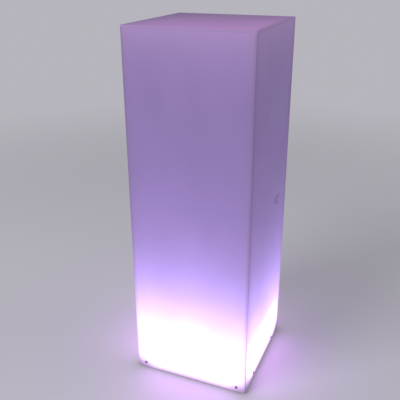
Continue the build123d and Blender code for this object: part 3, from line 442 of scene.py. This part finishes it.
# %% Finish a wall
corner_looks = {
    "x": {"tint": (0.98, 0.99, 0.92), "shade": 0.26, "start": 9.5 * MM, "end": 0.5 * MM},
    "y": {"tint": (1.00, 0.91, 0.92), "shade": 0.06, "start": 24 * MM, "end": 7 * MM},
}


def wall_finish(name, along_axis, level, foot_fade=(14 * MM, 42 * MM), hump=None, strokes=()):
    """An upright sheet, with its light, foot, corners, seams and strokes."""
    wall = Wall(name, along_axis, level)
    light = over_dark_foot(wall, wall_light(wall, hump), *foot_fade)
    look = corner_looks[along_axis]
    warm = wall.mix(wall.share.step(0.80, 1.0), (1, 1, 1), look["tint"])
    at_corner = wall.reach.step(half_width - look["start"], half_width - look["end"])
    shade = 1 - look["shade"] * at_corner
    seam = glue_lines(wall)
    light = light * warm * shade * (1 - 0.14 * wall.cut_edge) * (1 - 0.12 * seam)
    colour = sheet_colour * (0.90 + 0.20 * wall.clouds) * warm * (1 - 0.10 * wall.cut_edge)
    roughness = 0.46 + 0.08 * seam + 0.16 * wall.cut_edge
    if strokes:
        first, second = (dark_stroke(wall, *stroke) for stroke in strokes)
        # The strokes darken the wall's light and colour and raise its roughness
        dark_strokes = first.most(second)
        light = light * (1 - 0.30 * dark_strokes)
        colour = colour * (1 - 0.16 * dark_strokes)
        roughness = roughness + 0.20 * dark_strokes
    return opal_surface(wall, colour, light, roughness)


right_hump = {"middle": -120 * MM, "reach": 105 * MM, "rise": 0.30, "dip": 0.04}
side_foot, right_foot = (18 * MM, 60 * MM), (20 * MM, 62 * MM)
by_node = {
    "front_panel": wall_finish("opal_front", "x", 1.0),
    "left_panel": wall_finish("opal_left", "y", 0.86, side_foot),
    "right_panel": wall_finish("opal_right", "y", 0.66, right_foot, right_hump, right_strokes),
    "back_panel": wall_finish("opal_back", "x", 0.80),
}
print("walls finished:", len(by_node))

# %% [markdown]
# The top sheet is far from the chips, so its light is weak and even, a little pinker, and brighter
# towards the front. Along the sides it lies on walls that give less light than the front wall. Its
# own cut edges show all round, and pass on the light of the wall below them.

# %% Finish the lid
lid_body = (0.132, 0.052, 0.138)
lid_edge = (0.210, 0.132, 0.246)


def lid_finish(name):
    """The top sheet: brighter towards the front, darker over the side walls, painted highlight at its front edge.
    """
    finish = Finish(name)
    clouds = finish.noise(7.0)
    slope = 1 - 0.60 * finish.y / half_width + 0.22 * finish.x / half_width
    slope = slope * (1 - 0.32 * finish.x.step(-half_width + 75 * MM, -half_width))
    over_side = finish.x.size().step(half_width - 13 * MM, half_width - 3 * MM)
    # A painted highlight: the lid's light is lifted by a tenth along its front edge
    front_edge_highlight = finish.y.step(-half_width + 8 * MM, -half_width + 2 * MM)
    light = lid_body * (slope * (0.92 + 0.16 * clouds))
    light = light * (1 - 0.28 * over_side) * (1 + 0.10 * front_edge_highlight)

    sides = (finish.x, finish.x * -1, finish.y)
    right, left, back = (side.step(edge_start, edge_end) for side in sides)
    wall_glow = lid_edge * (1 - 0.34 * right - 0.14 * left - 0.20 * back)
    cut_edge = finish.x.size().most(finish.y.size()).step(edge_start, edge_end)
    light = finish.mix(cut_edge, light, wall_glow) * (1 - 0.20 * glue_lines(finish))
    colour = sheet_colour * (0.93 + 0.14 * clouds)
    return opal_surface(finish, colour, light, 0.46 + 0.16 * cut_edge)


by_node["top_panel"] = lid_finish("opal_lid")
print("opal finishes:", len(by_node))

# %% [markdown]
# ## Metals
#
# Small fixings are mostly one metal with a thin coat on it. What makes them read as metal is that
# the coat is uneven: roughness wanders over a few millimetres, plating tints blue and straw, and
# dark oxide wears off where a driver bit has turned. Noise drives colour and roughness together.

# %% Coated screws and washers
def dark_screw():
    """Black oxide, worn through to grey in spots."""
    finish = Finish("dark_screw")
    wear = finish.noise(900.0, 4.0).step(0.54, 0.74)
    return finish.surface(
        Base_Color=finish.mix(wear, (0.275, 0.235, 0.300), (0.42, 0.39, 0.44)),
        Metallic=0.60,
        Roughness=0.34 + 0.22 * finish.noise(1400.0),
        Normal=finish.bump(finish.noise(2600.0), 0.03 * MM),
    )


def zinc_steel():
    """Zinc plating that tints from blue to straw."""
    finish = Finish("zinc_steel")
    tint = finish.noise(240.0, 2.0).step(0.35, 0.65)
    return finish.surface(
        Base_Color=finish.mix(tint, (0.64, 0.66, 0.70), (0.73, 0.71, 0.67)),
        Metallic=1.0,
        Roughness=0.26 + 0.20 * finish.noise(1100.0, 4.0),
        Normal=finish.bump(finish.noise(3000.0), 0.02 * MM),
    )


finishes["dark_screw"] = dark_screw()
finishes["zinc_steel"] = zinc_steel()
print("coated metals:", len(finishes))

# %% [markdown]
# The light rails are extruded, the battery's links are rolled, and the charging socket's pin and
# nut are turned. All three leave fine lines that run one way. A noise, drawn out along the lines
# by small factors and packed across them by large ones, gives the grain.

# %% Drawn metals
rail_colours = ((0.82, 0.83, 0.84), (0.70, 0.71, 0.73))
drawn_looks = {
    "rail_along_x": (*rail_colours, (25, 2400, 2400), 0.28),
    "rail_along_y": (*rail_colours, (2400, 25, 2400), 0.28),
    "nickel_strip": ((0.76, 0.74, 0.70), (0.62, 0.60, 0.57), (900, 60, 2400), 0.24),
    "bright_brass": ((0.84, 0.68, 0.36), (0.70, 0.52, 0.24), (1500, 1500, 90), 0.22),
    "nut_nickel": ((0.78, 0.77, 0.74), (0.62, 0.61, 0.59), (500, 500, 2600), 0.20),
}


def drawn_metal(name, light_colour, dark_colour, factors, roughness):
    """Metal with a grain that runs one way."""
    finish = Finish(name)
    grain = finish.noise(1.0, 5.0, finish.drawn_out(factors))
    return finish.surface(
        Base_Color=finish.mix(grain.step(0.3, 0.7), dark_colour, light_colour),
        Metallic=1.0,
        Roughness=roughness + 0.16 * grain,
        Normal=finish.bump(grain, 0.02 * MM),
    )


for name, look in drawn_looks.items():
    finishes[name] = drawn_metal(name, *look)
print("metal finishes:", len(finishes))

# %% [markdown]
# ## Plastics and rubbers
#
# Moulded plastic takes its skin from the tool. A spark-eroded tool leaves a fine pebbled grain, a
# polished one leaves gloss with a little flow. Rubber is rougher and picks up dust. One function
# covers them all, because they differ only in colour, gloss and the depth and size of the grain.

# %% Moulded finishes
# Colour, roughness, pebbles to the metre and their depth, and for some colour spread and coat
moulded_looks = {
    "case_plastic": ((0.085, 0.085, 0.095), 0.46, 1500.0, 0.08 * MM),
    "clip_nylon": ((0.82, 0.81, 0.76), 0.38, 700.0, 0.04 * MM, 0.05),
    "connector_plastic": ((0.055, 0.255, 0.105), 0.36, 1800.0, 0.04 * MM),
    "chip_black": ((0.040, 0.040, 0.044), 0.44, 2400.0, 0.03 * MM),
    "switch_black": ((0.026, 0.026, 0.029), 0.16, 500.0, 0.03 * MM),
    "cap_rubber": ((0.055, 0.055, 0.060), 0.62, 1900.0, 0.06 * MM),
    "button_grey": ((0.46, 0.47, 0.50), 0.34, 1700.0, 0.04 * MM, 0.05),
    "lead_sheath": ((0.050, 0.050, 0.054), 0.42, 900.0, 0.05 * MM),
    "lamp_clear": ((0.42, 0.78, 0.46), 0.08, 400.0, 0.02 * MM, 0.05, 0.6),
}


def moulded(name, colour, roughness, grain_scale, grain_depth, spread=0.12, coat=0.0):
    """A moulded plastic or rubber with a pebbled grain."""
    finish = Finish(name)
    pebbles = finish.noise(grain_scale, 4.0)
    flow = finish.noise(55.0, 2.0)
    shade = (1 - spread) + 2 * spread * flow
    return finish.surface(
        Base_Color=colour * shade,
        Roughness=roughness + 0.14 * pebbles,
        Coat_Weight=coat,
        Normal=finish.bump(pebbles, grain_depth),
    )


for name, look in moulded_looks.items():
    finishes[name] = moulded(name, *look)
print("moulded finishes:", len(moulded_looks))

# %% [markdown]
# ## Foot rubber and base board
#
# A black rubber foot picks up pale dust where it meets the floor. The board is foamed plastic with
# a hard white skin, which has faint pores and grey rubs near its rim, where hands have held it.

# %% Foot rubber and base board
def foot_rubber():
    """Black rubber, dusty at its lower rim."""
    finish = Finish("foot_rubber")
    grain = finish.noise(1500.0, 4.0)
    dust = finish.z.step(1.4 * MM, 0.0) * finish.noise(700.0, 4.0).step(0.30, 0.75)
    return finish.surface(
        Base_Color=finish.mix(0.30 * dust, (0.042, 0.042, 0.046), (0.34, 0.32, 0.31)),
        Roughness=0.58 + 0.20 * grain + 0.15 * dust,
        Normal=finish.bump(grain, 0.10 * MM),
    )


def white_board():
    """A hard white skin with faint pores, rubbed grey near the rim."""
    finish = Finish("white_board")
    pores = finish.noise(1300.0, 5.0)
    at_rim = finish.x.size().most(finish.y.size()).step(half_width - 60 * MM, half_width - 6 * MM)
    rubs = at_rim * finish.noise(60.0, 5.0).step(0.5, 0.7)
    wear = 0.20 * rubs + 0.10 * pores
    return finish.surface(
        Base_Color=finish.mix(wear, (0.83, 0.82, 0.80), (0.52, 0.51, 0.50)),
        Roughness=0.42 + 0.18 * pores,
        Normal=finish.bump(pores, 0.06 * MM),
    )


finishes["foot_rubber"] = foot_rubber()
finishes["white_board"] = white_board()
print("board rubbed from", round(half_width - 60 * MM, 4), "m outwards")

# %% [markdown]
# ## Battery cells
#
# Each cell is a steel can in blue shrink film. The film stops short of the ends and leaves bare
# metal there. Six cells lie in three rows along x, two to a row and end to end, so the distance
# from the middle finds all the bare ends.

# %% Battery cells
cells_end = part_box("battery_cells")[1].x


def cell_wrap():
    """Blue shrink film, bare at both ends of each cell."""
    finish = Finish("cell_wrap")
    crinkle = finish.noise(1.0, 4.0, finish.drawn_out((60, 420, 420)))
    far_end = finish.x.size().step(cells_end - 2.2 * MM, cells_end - 1.8 * MM)
    near_end = finish.x.size().step(1.6 * MM, 1.2 * MM)
    bare = far_end.most(near_end)
    return finish.surface(
        Base_Color=finish.mix(bare, (0.070, 0.190, 0.460), (0.66, 0.66, 0.64)),
        Metallic=bare,
        Roughness=0.20 + 0.16 * crinkle,
        Normal=finish.bump(crinkle, 0.06 * MM),
    )


finishes["cell_wrap"] = cell_wrap()
print("cells reach", round(cells_end, 4), "m from the middle")

# %% [markdown]
# ## Circuit boards and capacitor
#
# A circuit board is green lacquer over copper tracks, which stand a hair higher and show through
# lighter. The borders of a nearly regular Voronoi pattern wander like routed tracks, and one node
# makes them. The capacitor is a dark sleeve with a bare aluminium top.

# %% Circuit boards and capacitor
def circuit_green():
    """Green lacquer over copper tracks."""
    finish = Finish("circuit_green")
    borders = finish.node(
        "ShaderNodeTexVoronoi",
        {"feature": "DISTANCE_TO_EDGE"},
        {"Vector": finish.place, "Scale": 210.0, "Randomness": 0.35},
        "Distance",
    )
    tracks = borders.step(0.10, 0.05)
    return finish.surface(
        Base_Color=finish.mix(tracks, (0.020, 0.150, 0.060), (0.060, 0.300, 0.110)),
        Roughness=0.18 + 0.12 * finish.noise(800.0),
        Coat_Weight=0.5,
        Normal=finish.bump(tracks, 0.04 * MM),
    )


def capacitor_sleeve():
    """A dark sleeve with a bare aluminium top."""
    finish = Finish("capacitor_sleeve")
    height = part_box("smoothing_capacitor")[1].z
    top = finish.z.step(height - 0.5 * MM, height - 0.3 * MM)
    return finish.surface(
        Base_Color=finish.mix(top, (0.030, 0.034, 0.060), (0.72, 0.73, 0.74)),
        Metallic=top,
        Roughness=0.26 + 0.14 * finish.noise(900.0),
    )


finishes["circuit_green"] = circuit_green()
by_node["smoothing_capacitor"] = capacitor_sleeve()
print("finishes by slot:", len(finishes))

# %% [markdown]
# ## The light strips
#
# A light strip is a thin white film with two copper tracks, cut to length from a reel. Its chips
# have a white body and a yellow window of phosphor. The strips of the front and back run along x
# and the others along y, so each finish is made twice. Tracks and windows are drawn by distance:
# from the strip's middle line, and from the middle of the nearest chip, which a Wrap node finds.

# %% Measure the light ring
strip_low, strip_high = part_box("led_strip_front")
ring_half = (strip_high.y + strip_low.y) / -2
rail_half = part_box("led_rail_front")[1].x
chip_pitch = 16.67 * MM
window_radius = 2.0 * MM
print("ring half width", round(ring_half, 4), "m, rails reach", round(rail_half, 4), "m")


# %% Strip film and light chips
def strip_film(name, along_axis):
    """White film with a copper track along each rim."""
    finish = Finish(name)
    across = (finish.y if along_axis == "x" else finish.x).size() - ring_half
    tracks = near(across.size(), 3.7 * MM, 0.9 * MM)
    return finish.surface(
        Base_Color=finish.mix(tracks, (0.84, 0.84, 0.81), (0.80, 0.70, 0.54)),
        Roughness=0.34 + 0.12 * finish.noise(700.0),
        Normal=finish.bump(tracks, 0.05 * MM),
    )


def light_chip(name, along_axis):
    """White body, yellow window, lit."""
    finish = Finish(name)
    along, side = (finish.x, finish.y) if along_axis == "x" else (finish.y, finish.x)
    half_pitch = {1: chip_pitch / 2, 2: -chip_pitch / 2}
    wrap = finish.node("ShaderNodeMath", {"operation": "WRAP"}, {0: along, **half_pitch})
    across = side.size() - ring_half
    away = (wrap * wrap + across * across).root()
    window = away.step(window_radius, window_radius - 0.3 * MM)
    return finish.surface(
        Base_Color=finish.mix(window, (0.84, 0.84, 0.82), (0.34, 0.29, 0.14)),
        Roughness=0.22 + 0.10 * finish.noise(900.0),
        Emission_Color=finish.mix(window, (0.03, 0.02, 0.05), (0.58, 0.36, 1.0)),
        Emission_Strength=1.0,
    )


for axis, walls in (("x", ("front", "back")), ("y", ("left", "right"))):
    film = strip_film(f"strip_film_{axis}", axis)
    chip = light_chip(f"light_chip_{axis}", axis)
    for wall in walls:
        by_node[f"led_rail_{wall}"] = finishes[f"rail_along_{axis}"]
        by_node[f"led_strip_{wall}"] = film
        by_node[f"led_chips_{wall}"] = chip
print("nodes with a finish of their own:", len(by_node))

# %% [markdown]
# ## Thin wires
#
# Four thin wires join one strip to the next round each corner: one for each colour, and one they
# share. They turn about the corner of the rails, so the distance from there tells them apart, and
# a ramp with hard stops gives each its colour. Inside the housing the red wires lie on one side
# and the black ones on the other.

# %% Thin wires
nearest_wire = 10.2 * MM
wires_width = 9.6 * MM
wire_colours = [
    (0.0, (0.70, 0.70, 0.68)),
    (0.28, (0.60, 0.05, 0.04)),
    (0.52, (0.04, 0.34, 0.09)),
    (0.76, (0.04, 0.10, 0.55)),
]


def corner_wires():
    """The wires at the corners: pale, red, green and blue, going outwards."""
    finish = Finish("corner_wires")
    east = finish.x.size() - rail_half
    north = finish.y.size() - rail_half
    away = (east * east + north * north).root()
    outwards = (away - nearest_wire) / wires_width
    shade = finish.node("ShaderNodeValToRGB", {"stops": wire_colours}, {0: outwards})
    return finish.surface(Base_Color=shade, Roughness=0.36 + 0.12 * finish.noise(1200.0))


def inner_wires():
    """Red on one side of the housing, black on the other."""
    finish = Finish("inner_wires")
    low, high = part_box("inner_wires")
    middle = (low.y + high.y) / 2
    red = finish.y.step(middle - 1 * MM, middle + 1 * MM)
    return finish.surface(
        Base_Color=finish.mix(red, (0.030, 0.030, 0.034), (0.560, 0.035, 0.030)),
        Roughness=0.36 + 0.12 * finish.noise(1200.0),
    )


by_node["corner_leads"] = corner_wires()
by_node["inner_wires"] = inner_wires()
print("wire colours at a corner:", len(wire_colours))

# %% [markdown]
# ## Put the finishes on
#
# The record names a material slot for every node, so most nodes get their finish through that
# name. The sheets, the light ring, the inner wires and the capacitor have finishes of their own.
# Only the object's material slots are filled: the CAD meshes stay as they are.

# %% Give every CAD node its finish
for subpart in frame["record"]["subparts"]:
    name = subpart["node"]
    finish = by_node.get(name) or finishes[subpart["material_slot"]]
    for material_slot in frame["nodes"][name].material_slots:
        material_slot.link = "OBJECT"
        material_slot.material = finish

# %% [markdown]
# ## Repeated parts with Geometry Nodes
#
# A light strip carries a tiny resistor beside every chip and a pair of copper pads at every cut
# line. A rubber foot has ribs round its side so that fingers can turn it, and the cap of the
# charging socket has ribs on its tab. Each is one small block repeated by a rule, which is what
# Geometry Nodes are for: the tree holds the rule, its named inputs hold the sizes, and one change
# moves every copy. `Pattern` is a network that ends in Realize Instances and Set Material, and the
# result is turned into a plain mesh, because a finished model can't carry instances.

# %% Hold one Geometry Nodes tree
def new_object(name, data):
    """An object in the scene, at the origin."""
    thing = bpy.data.objects.new(name, data)
    bpy.context.scene.collection.objects.link(thing)
    return thing


class Pattern(Network):
    """A Geometry Nodes tree with named inputs."""

    def __init__(self, name, inputs):
        self.name = name
        self.sizes = inputs
        self.tree = bpy.data.node_groups.new(name, "GeometryNodeTree")
        self.tree.is_modifier = True
        self.names = {}
        kinds = {int: "Int", float: "Float", tuple: "Vector"}
        interface = self.tree.interface
        for label, value in inputs.items():
            kind = "NodeSocket" + kinds[type(value)]
            socket = interface.new_socket(label, in_out="INPUT", socket_type=kind)
            self.names[label] = socket.identifier
        interface.new_socket("Geometry", in_out="OUTPUT", socket_type="NodeSocketGeometry")
        self.entry = self.tree.nodes.new("NodeGroupInput")

    def size(self, label):
        """The input of that name, as a Value."""
        return Value(self, self.entry.outputs[label])

    def vector(self, x=0.0, y=0.0, z=0.0):
        return self.node("ShaderNodeCombineXYZ", sockets={0: x, 1: y, 2: z})

    def block(self, label):
        """A block of the size that an input gives."""
        return self.node("GeometryNodeMeshCube", sockets={"Size": self.size(label)})

    def line(self, count, start, step):
        """Points in a straight line."""
        sockets = {"Count": count, "Start Location": start, "Offset": step}
        return self.node("GeometryNodeMeshLine", sockets=sockets)

    def row_start(self):
        """Where a row of Count copies, one Pitch apart, starts if its middle is at 0."""
        return (1 - self.size("Count")) * self.size("Pitch") * 0.5

    def copies(self, points, instance, rotation=(0, 0, 0)):
        """The instance at every point."""
        sockets = {"Points": points, "Instance": instance, "Rotation": rotation}
        return self.node("GeometryNodeInstanceOnPoints", sockets=sockets)

    def moved(self, geometry, by):
        sockets = {"Geometry": geometry, "Translation": by}
        return self.node("GeometryNodeTransform", sockets=sockets)

    def bake(self, geometry, finish, body, material_slot):
        """Ends the tree, turns its result into a plain mesh and sets it riding on a body."""
        solid = self.node("GeometryNodeRealizeInstances", sockets={"Geometry": geometry})
        sockets = {"Geometry": solid, "Material": finish}
        painted = self.node("GeometryNodeSetMaterial", sockets=sockets)
        self.node("NodeGroupOutput", sockets={"Geometry": painted})
        carrier = new_object(self.name, bpy.data.meshes.new(self.name))
        modifier = carrier.modifiers.new("pattern", "NODES")
        modifier.node_group = self.tree
        for label, value in self.sizes.items():
            modifier[self.names[label]] = value
        bpy.context.view_layer.update()
        seen = carrier.evaluated_get(bpy.context.evaluated_depsgraph_get())
        mesh = bpy.data.meshes.new_from_object(seen)
        carrier.modifiers.clear()
        carrier.data = mesh
        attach(carrier, body)
        return len(mesh.vertices)


print("patterns ready")

# %% [markdown]
# A resistor is a black block half a millimetre high. One row of them runs along the front strip,
# each a little to one side of its chip. The other walls carry the same row, so the tree puts it on
# four points at the origin and turns it a quarter more at each.

# %% Resistors beside the chips
def four_walls(pattern, row):
    """The row of the front wall, turned to all four walls."""
    walls = pattern.line(4, (0, 0, 0), (0, 0, 0))
    index = pattern.node("GeometryNodeInputIndex")
    return pattern.copies(walls, row, pattern.vector(z=index * (pi / 2)))


chip_count = int(2 * rail_half // chip_pitch)
resistors = Pattern(
    "strip_resistors",
    {
        "Count": chip_count - 1,
        "Pitch": chip_pitch,
        "Block": (1.25 * MM, 2.0 * MM, 0.5 * MM),
        "Shift": -3.4 * MM,
        "Ring half width": ring_half,
        "Seat height": strip_high.z,
    },
)
block_size = resistors.size("Block")
height = resistors.node("ShaderNodeSeparateXYZ", sockets={0: block_size}, output="Z")
start = resistors.vector(
    resistors.row_start() + resistors.size("Shift"),
    0 - resistors.size("Ring half width"),
    resistors.size("Seat height") + height * 0.5,
)
line = resistors.line(resistors.size("Count"), start, resistors.vector(resistors.size("Pitch")))
row = resistors.copies(line, resistors.block("Block"))
row = four_walls(resistors, row)
made = resistors.bake(row, finishes["chip_black"], "base", "chip_black")
print("resistors:", made, "vertices")

# %% [markdown]
# After every third chip the strip can be cut, and four bare pads lie side by side there for the
# wires. A short line holds the four pads of one cut, and a long line repeats that group.

# %% Copper pads at the cut lines
pads = Pattern(
    "strip_pads",
    {
        "Count": chip_count // 3 - 1,
        "Pitch": 3 * chip_pitch,
        "Pad": (2.4 * MM, 1.5 * MM, 0.06 * MM),
        "Side step": 2.0 * MM,
        "Ring half width": ring_half,
        "Seat height": strip_high.z,
    },
)
side_step = pads.size("Side step")
across = pads.line(4, pads.vector(y=side_step * -1.5), pads.vector(y=side_step))
start = pads.vector(
    pads.row_start(),
    0 - pads.size("Ring half width"),
    pads.size("Seat height"),
)
line = pads.line(pads.size("Count"), start, pads.vector(pads.size("Pitch")))
row = pads.copies(line, pads.copies(across, pads.block("Pad")))
row = four_walls(pads, row)
made = pads.bake(row, finishes["bright_brass"], "base", "bright_brass")
print("copper pads:", made, "vertices")

# %% [markdown]
# The ribs stand in a ring on the side of each foot, facing outwards. A mesh circle gives the
# points, and a grid of two by two points carries the ring to all four feet.

# %% Ribs round the rubber feet
foot_radius = 11 * MM
ribs = Pattern(
    "foot_ribs",
    {
        "Count": 32,
        "Foot radius": foot_radius,
        "Spread": 2 * (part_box("rubber_feet")[1].x - foot_radius),
        "Rib": (0.7 * MM, 0.8 * MM, 2.4 * MM),
        "Middle height": 2.2 * MM,
    },
)
ring = ribs.node(
    "GeometryNodeMeshCircle",
    sockets={"Vertices": ribs.size("Count"), "Radius": ribs.size("Foot radius")},
)
index = ribs.node("GeometryNodeInputIndex")
turn = ribs.vector(z=index * (2 * pi) / ribs.size("Count"))
one_foot = ribs.copies(ring, ribs.block("Rib"), turn)
spread = ribs.size("Spread")
corners = ribs.node(
    "GeometryNodeMeshGrid",
    sockets={"Size X": spread, "Size Y": spread, "Vertices X": 2, "Vertices Y": 2},
)
corners = ribs.moved(corners, ribs.vector(z=ribs.size("Middle height")))
feet = ribs.copies(corners, one_foot)
made = ribs.bake(feet, finishes["foot_rubber"], "base", "foot_rubber")
print("foot ribs:", made, "vertices")

# %% [markdown]
# The cap is pulled out by its tab, and six ribs on it give the fingers a hold. Each is one block, a
# little thicker than the tab. The piece rides on the cap's own body, so it moves with the cap.

# %% Ribs on the tab of the charging cap
cap_low, cap_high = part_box("socket_cap")
tab_half = 1.1 * MM
cap_ribs = Pattern(
    "cap_ribs",
    {
        "Count": 6,
        "Pitch": 1.05 * MM,
        "Rib": (0.45 * MM, 2 * tab_half + 0.5 * MM, 1.3 * MM),
        "Middle": (
            (cap_low.x + cap_high.x) / 2,
            (cap_low.y + cap_high.y) / 2,
            cap_low.z + 0.95 * MM,
        ),
    },
)
start = cap_ribs.vector(cap_ribs.row_start())
line = cap_ribs.line(cap_ribs.size("Count"), start, cap_ribs.vector(cap_ribs.size("Pitch")))
row = cap_ribs.copies(line, cap_ribs.block("Rib"))
placed = cap_ribs.moved(row, cap_ribs.size("Middle"))
made = cap_ribs.bake(placed, finishes["cap_rubber"], "cap", "cap_rubber")
print("cap ribs:", made, "vertices")

# %% [markdown]
# ## The marks on the rocker
#
# A rocker switch shows a bar on the side that switches on and a ring on the side that switches
# off. On the real switch they are printed, so here they are thin shapes a twentieth of a
# millimetre proud. The paddle's two faces meet in a shallow ridge at its pivot, so each mark is
# drawn flat and then tilted by the same angles as its face.

# %% Find the faces of the rocker
rocker_joint = next(joint for joint in frame["joints"] if joint["name"] == "rocker_tilt")
pivot = Vector(rocker_joint["pos_m"])
tilt = radians(12.0)
crease = 4.3 * MM
mark_reach = 4.1 * MM


def paddle_face(way):
    """The frame of one face: x across, y along, z out. Way is 1 on the pressed side, or -1."""
    slope = tan(tilt)
    along = Vector((0, way, -slope)).normalized()
    middle = Vector((0, way * mark_reach, -crease - slope * mark_reach))
    out = Vector((0, -way * slope, -1)).normalized()
    place = Matrix.Identity(4)
    for column, axis in enumerate((along.cross(out), along, out)):
        for line in range(3):
            place[line][column] = axis[line]
    place.translation = middle
    return Matrix.Translation(pivot) @ Matrix.Rotation(tilt, 4, "X") @ place


print("rocker turns about", [round(value, 4) for value in pivot])

# %% [markdown]
# The bar is a flat block. The ring is a flat washer, made from four loops of points joined by
# quads, which closes it all round. Both go into one bmesh, and their normals are recalculated,
# because the loops can run either way.

# %% Print the rocker's marks
mark_height = 0.05 * MM


def flat_ring(mesh, outer, inner, thickness, sides=48):
    """A washer shape about the origin, from z = 0 up."""
    turns = [2 * pi * side / sides for side in range(sides)]
    loops = []
    for radius, level in ((outer, 0), (outer, thickness), (inner, thickness), (inner, 0)):
        loops.append([mesh.verts.new((radius * cos(t), radius * sin(t), level)) for t in turns])
    for loop, following in zip(loops, loops[1:] + loops[:1]):
        for side in range(sides):
            after = (side + 1) % sides
            mesh.faces.new((loop[side], loop[after], following[after], following[side]))


def solid_piece(name, shape, finish):
    """Turns a finished bmesh into an object with one finish."""
    mesh = bpy.data.meshes.new(name)
    shape.to_mesh(mesh)
    shape.free()
    mesh.materials.append(finish)
    return new_object(name, mesh)


marks = bmesh.new()
flat_ring(marks, 1.75 * MM, 1.25 * MM, mark_height)
bmesh.ops.transform(marks, matrix=paddle_face(-1), verts=marks.verts)
bar = bmesh.ops.create_cube(marks, size=1.0)["verts"]
bar_size = Matrix.Diagonal((0.6 * MM, 3.6 * MM, 2 * mark_height, 1))
bmesh.ops.transform(marks, matrix=paddle_face(1) @ bar_size, verts=bar)
bmesh.ops.recalc_face_normals(marks, faces=marks.faces)
mark_paint = moulded("mark_paint", (0.80, 0.80, 0.78), 0.30, 1800.0, 0.01 * MM, 0.04)
rocker_marks = solid_piece("rocker_marks", marks, mark_paint)
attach(rocker_marks, "rocker")
print("marks", round(mark_reach, 4), "m from the pivot")

# %% [markdown]
# ## Floor and background
#
# The floor is a plain pale sheet, dull enough that the glow lies on it as a soft pool. Far away it
# passes into the background, so that no horizon line crosses the picture. Both read the light path:
# a ray from the camera, or one reflected or let through, sees the pale background, while the light
# that the world throws on the object stays as plain as the lamps'.

# %% Lay the floor
background = (0.47, 0.46, 0.505)
floor_colour = (0.44, 0.43, 0.475)
floor_radius = 9.0
floor_drop = 0.2 * MM


def floor_finish():
    """A dull pale floor that passes into the background far away."""
    finish = Finish("studio_floor")
    speckle = finish.noise(180.0, 3.0)
    colour = floor_colour * (0.98 + 0.04 * speckle)
    sockets = {"Base Color": colour, "Roughness": 0.6}
    near_floor = finish.node("ShaderNodeBsdfPrincipled", sockets=sockets)
    far_floor = finish.node("ShaderNodeEmission", sockets={"Color": opaque(background)})
    share = finish.place.length().step(1.1, 3.2) * finish.seen()
    blend = finish.node("ShaderNodeMixShader", sockets={0: share, 1: near_floor, 2: far_floor})
    finish.node("ShaderNodeOutputMaterial", sockets={"Surface": blend})
    return finish.material


disc = bmesh.new()
bmesh.ops.create_circle(disc, cap_ends=True, segments=96, radius=floor_radius)
floor = solid_piece("floor", disc, floor_finish())
floor.location.z = -floor_drop
print("floor radius", floor_radius, "m")

# %% [markdown]
# The world gives the soft light that comes from all round. Alone it would leave the object flat,
# so it stays moderate, and the lamps do the rest.

# %% Light the world
class Sky(Network):
    """The world's nodes, wired with the same helpers."""

    def __init__(self, world):
        world.use_nodes = True
        self.tree = world.node_tree
        self.tree.nodes.clear()


world_level = 0.62
world = bpy.context.scene.world or bpy.data.worlds.new("studio")
bpy.context.scene.world = world
sky = Sky(world)
white = {"Color": (1, 1, 1, 1), "Strength": world_level}
plain = sky.node("ShaderNodeBackground", sockets=white)
pale = sky.node("ShaderNodeBackground", sockets={"Color": opaque(background), "Strength": 1.0})
both = sky.node("ShaderNodeMixShader", sockets={0: sky.seen(), 1: plain, 2: pale})
sky.node("ShaderNodeOutputWorld", sockets={"Surface": both})
print("world level", world_level)

# %% [markdown]
# ## Lamps
#
# Two large soft lamps do the modelling. The main one stands to the front and left, above the lid,
# so the front reads brighter than the right side. The second, weaker one opens up the right side
# and the back.

# %% Hang the lamps
def soft_lamp(name, place, target, size, power):
    """A square lamp that faces the target."""
    lamp = bpy.data.lights.new(name, "AREA")
    lamp.shape = "SQUARE"
    lamp.size = size
    lamp.energy = power
    carrier = new_object(name, lamp)
    carrier.location = place
    carrier.rotation_euler = (Vector(target) - Vector(place)).to_track_quat("-Z", "Y").to_euler()
    print(name, power, "W,", size, "m wide")


middle = (0, 0, plinth_height / 2)
soft_lamp("main_lamp", (-1.4, -2.4, 2.6), middle, 1.6, 74)
soft_lamp("fill_lamp", (2.8, 1.0, 1.6), middle, 1.8, 20)

# %% [markdown]
# ## Camera
#
# The viewing angle comes from the lines of the plinth itself: its upright edges close in towards
# the foot, and the two sides of its lid run off at different slopes. Fitting a camera to its seven
# seen corners gives the place, the direction and the lens below.

# %% Set up the camera
camera_place = Vector((0.4855, -1.2339, 1.0300))
camera_turn = radians(22.80)
camera_drop = radians(23.32)
camera_roll = radians(-0.23)

level = cos(camera_drop)
forward = Vector((-sin(camera_turn) * level, cos(camera_turn) * level, -sin(camera_drop)))
level_right = forward.cross(Vector((0, 0, 1))).normalized()
level_up = level_right.cross(forward)
right = cos(camera_roll) * level_right + sin(camera_roll) * level_up
up = cos(camera_roll) * level_up - sin(camera_roll) * level_right

camera_data = bpy.data.cameras.new("camera")
camera_data.lens = 50.6
camera_data.sensor_width = 36
camera_data.clip_end = 60
camera_data.dof.use_dof = False
camera = new_object("camera", camera_data)
camera.matrix_world = Matrix.Translation(camera_place) @ Matrix(
    ((right.x, up.x, -forward.x), (right.y, up.y, -forward.y), (right.z, up.z, -forward.z))
).to_4x4()
bpy.context.scene.camera = camera
bpy.context.scene.view_settings.view_transform = "Standard"
print("camera at", [round(value, 3) for value in camera_place])
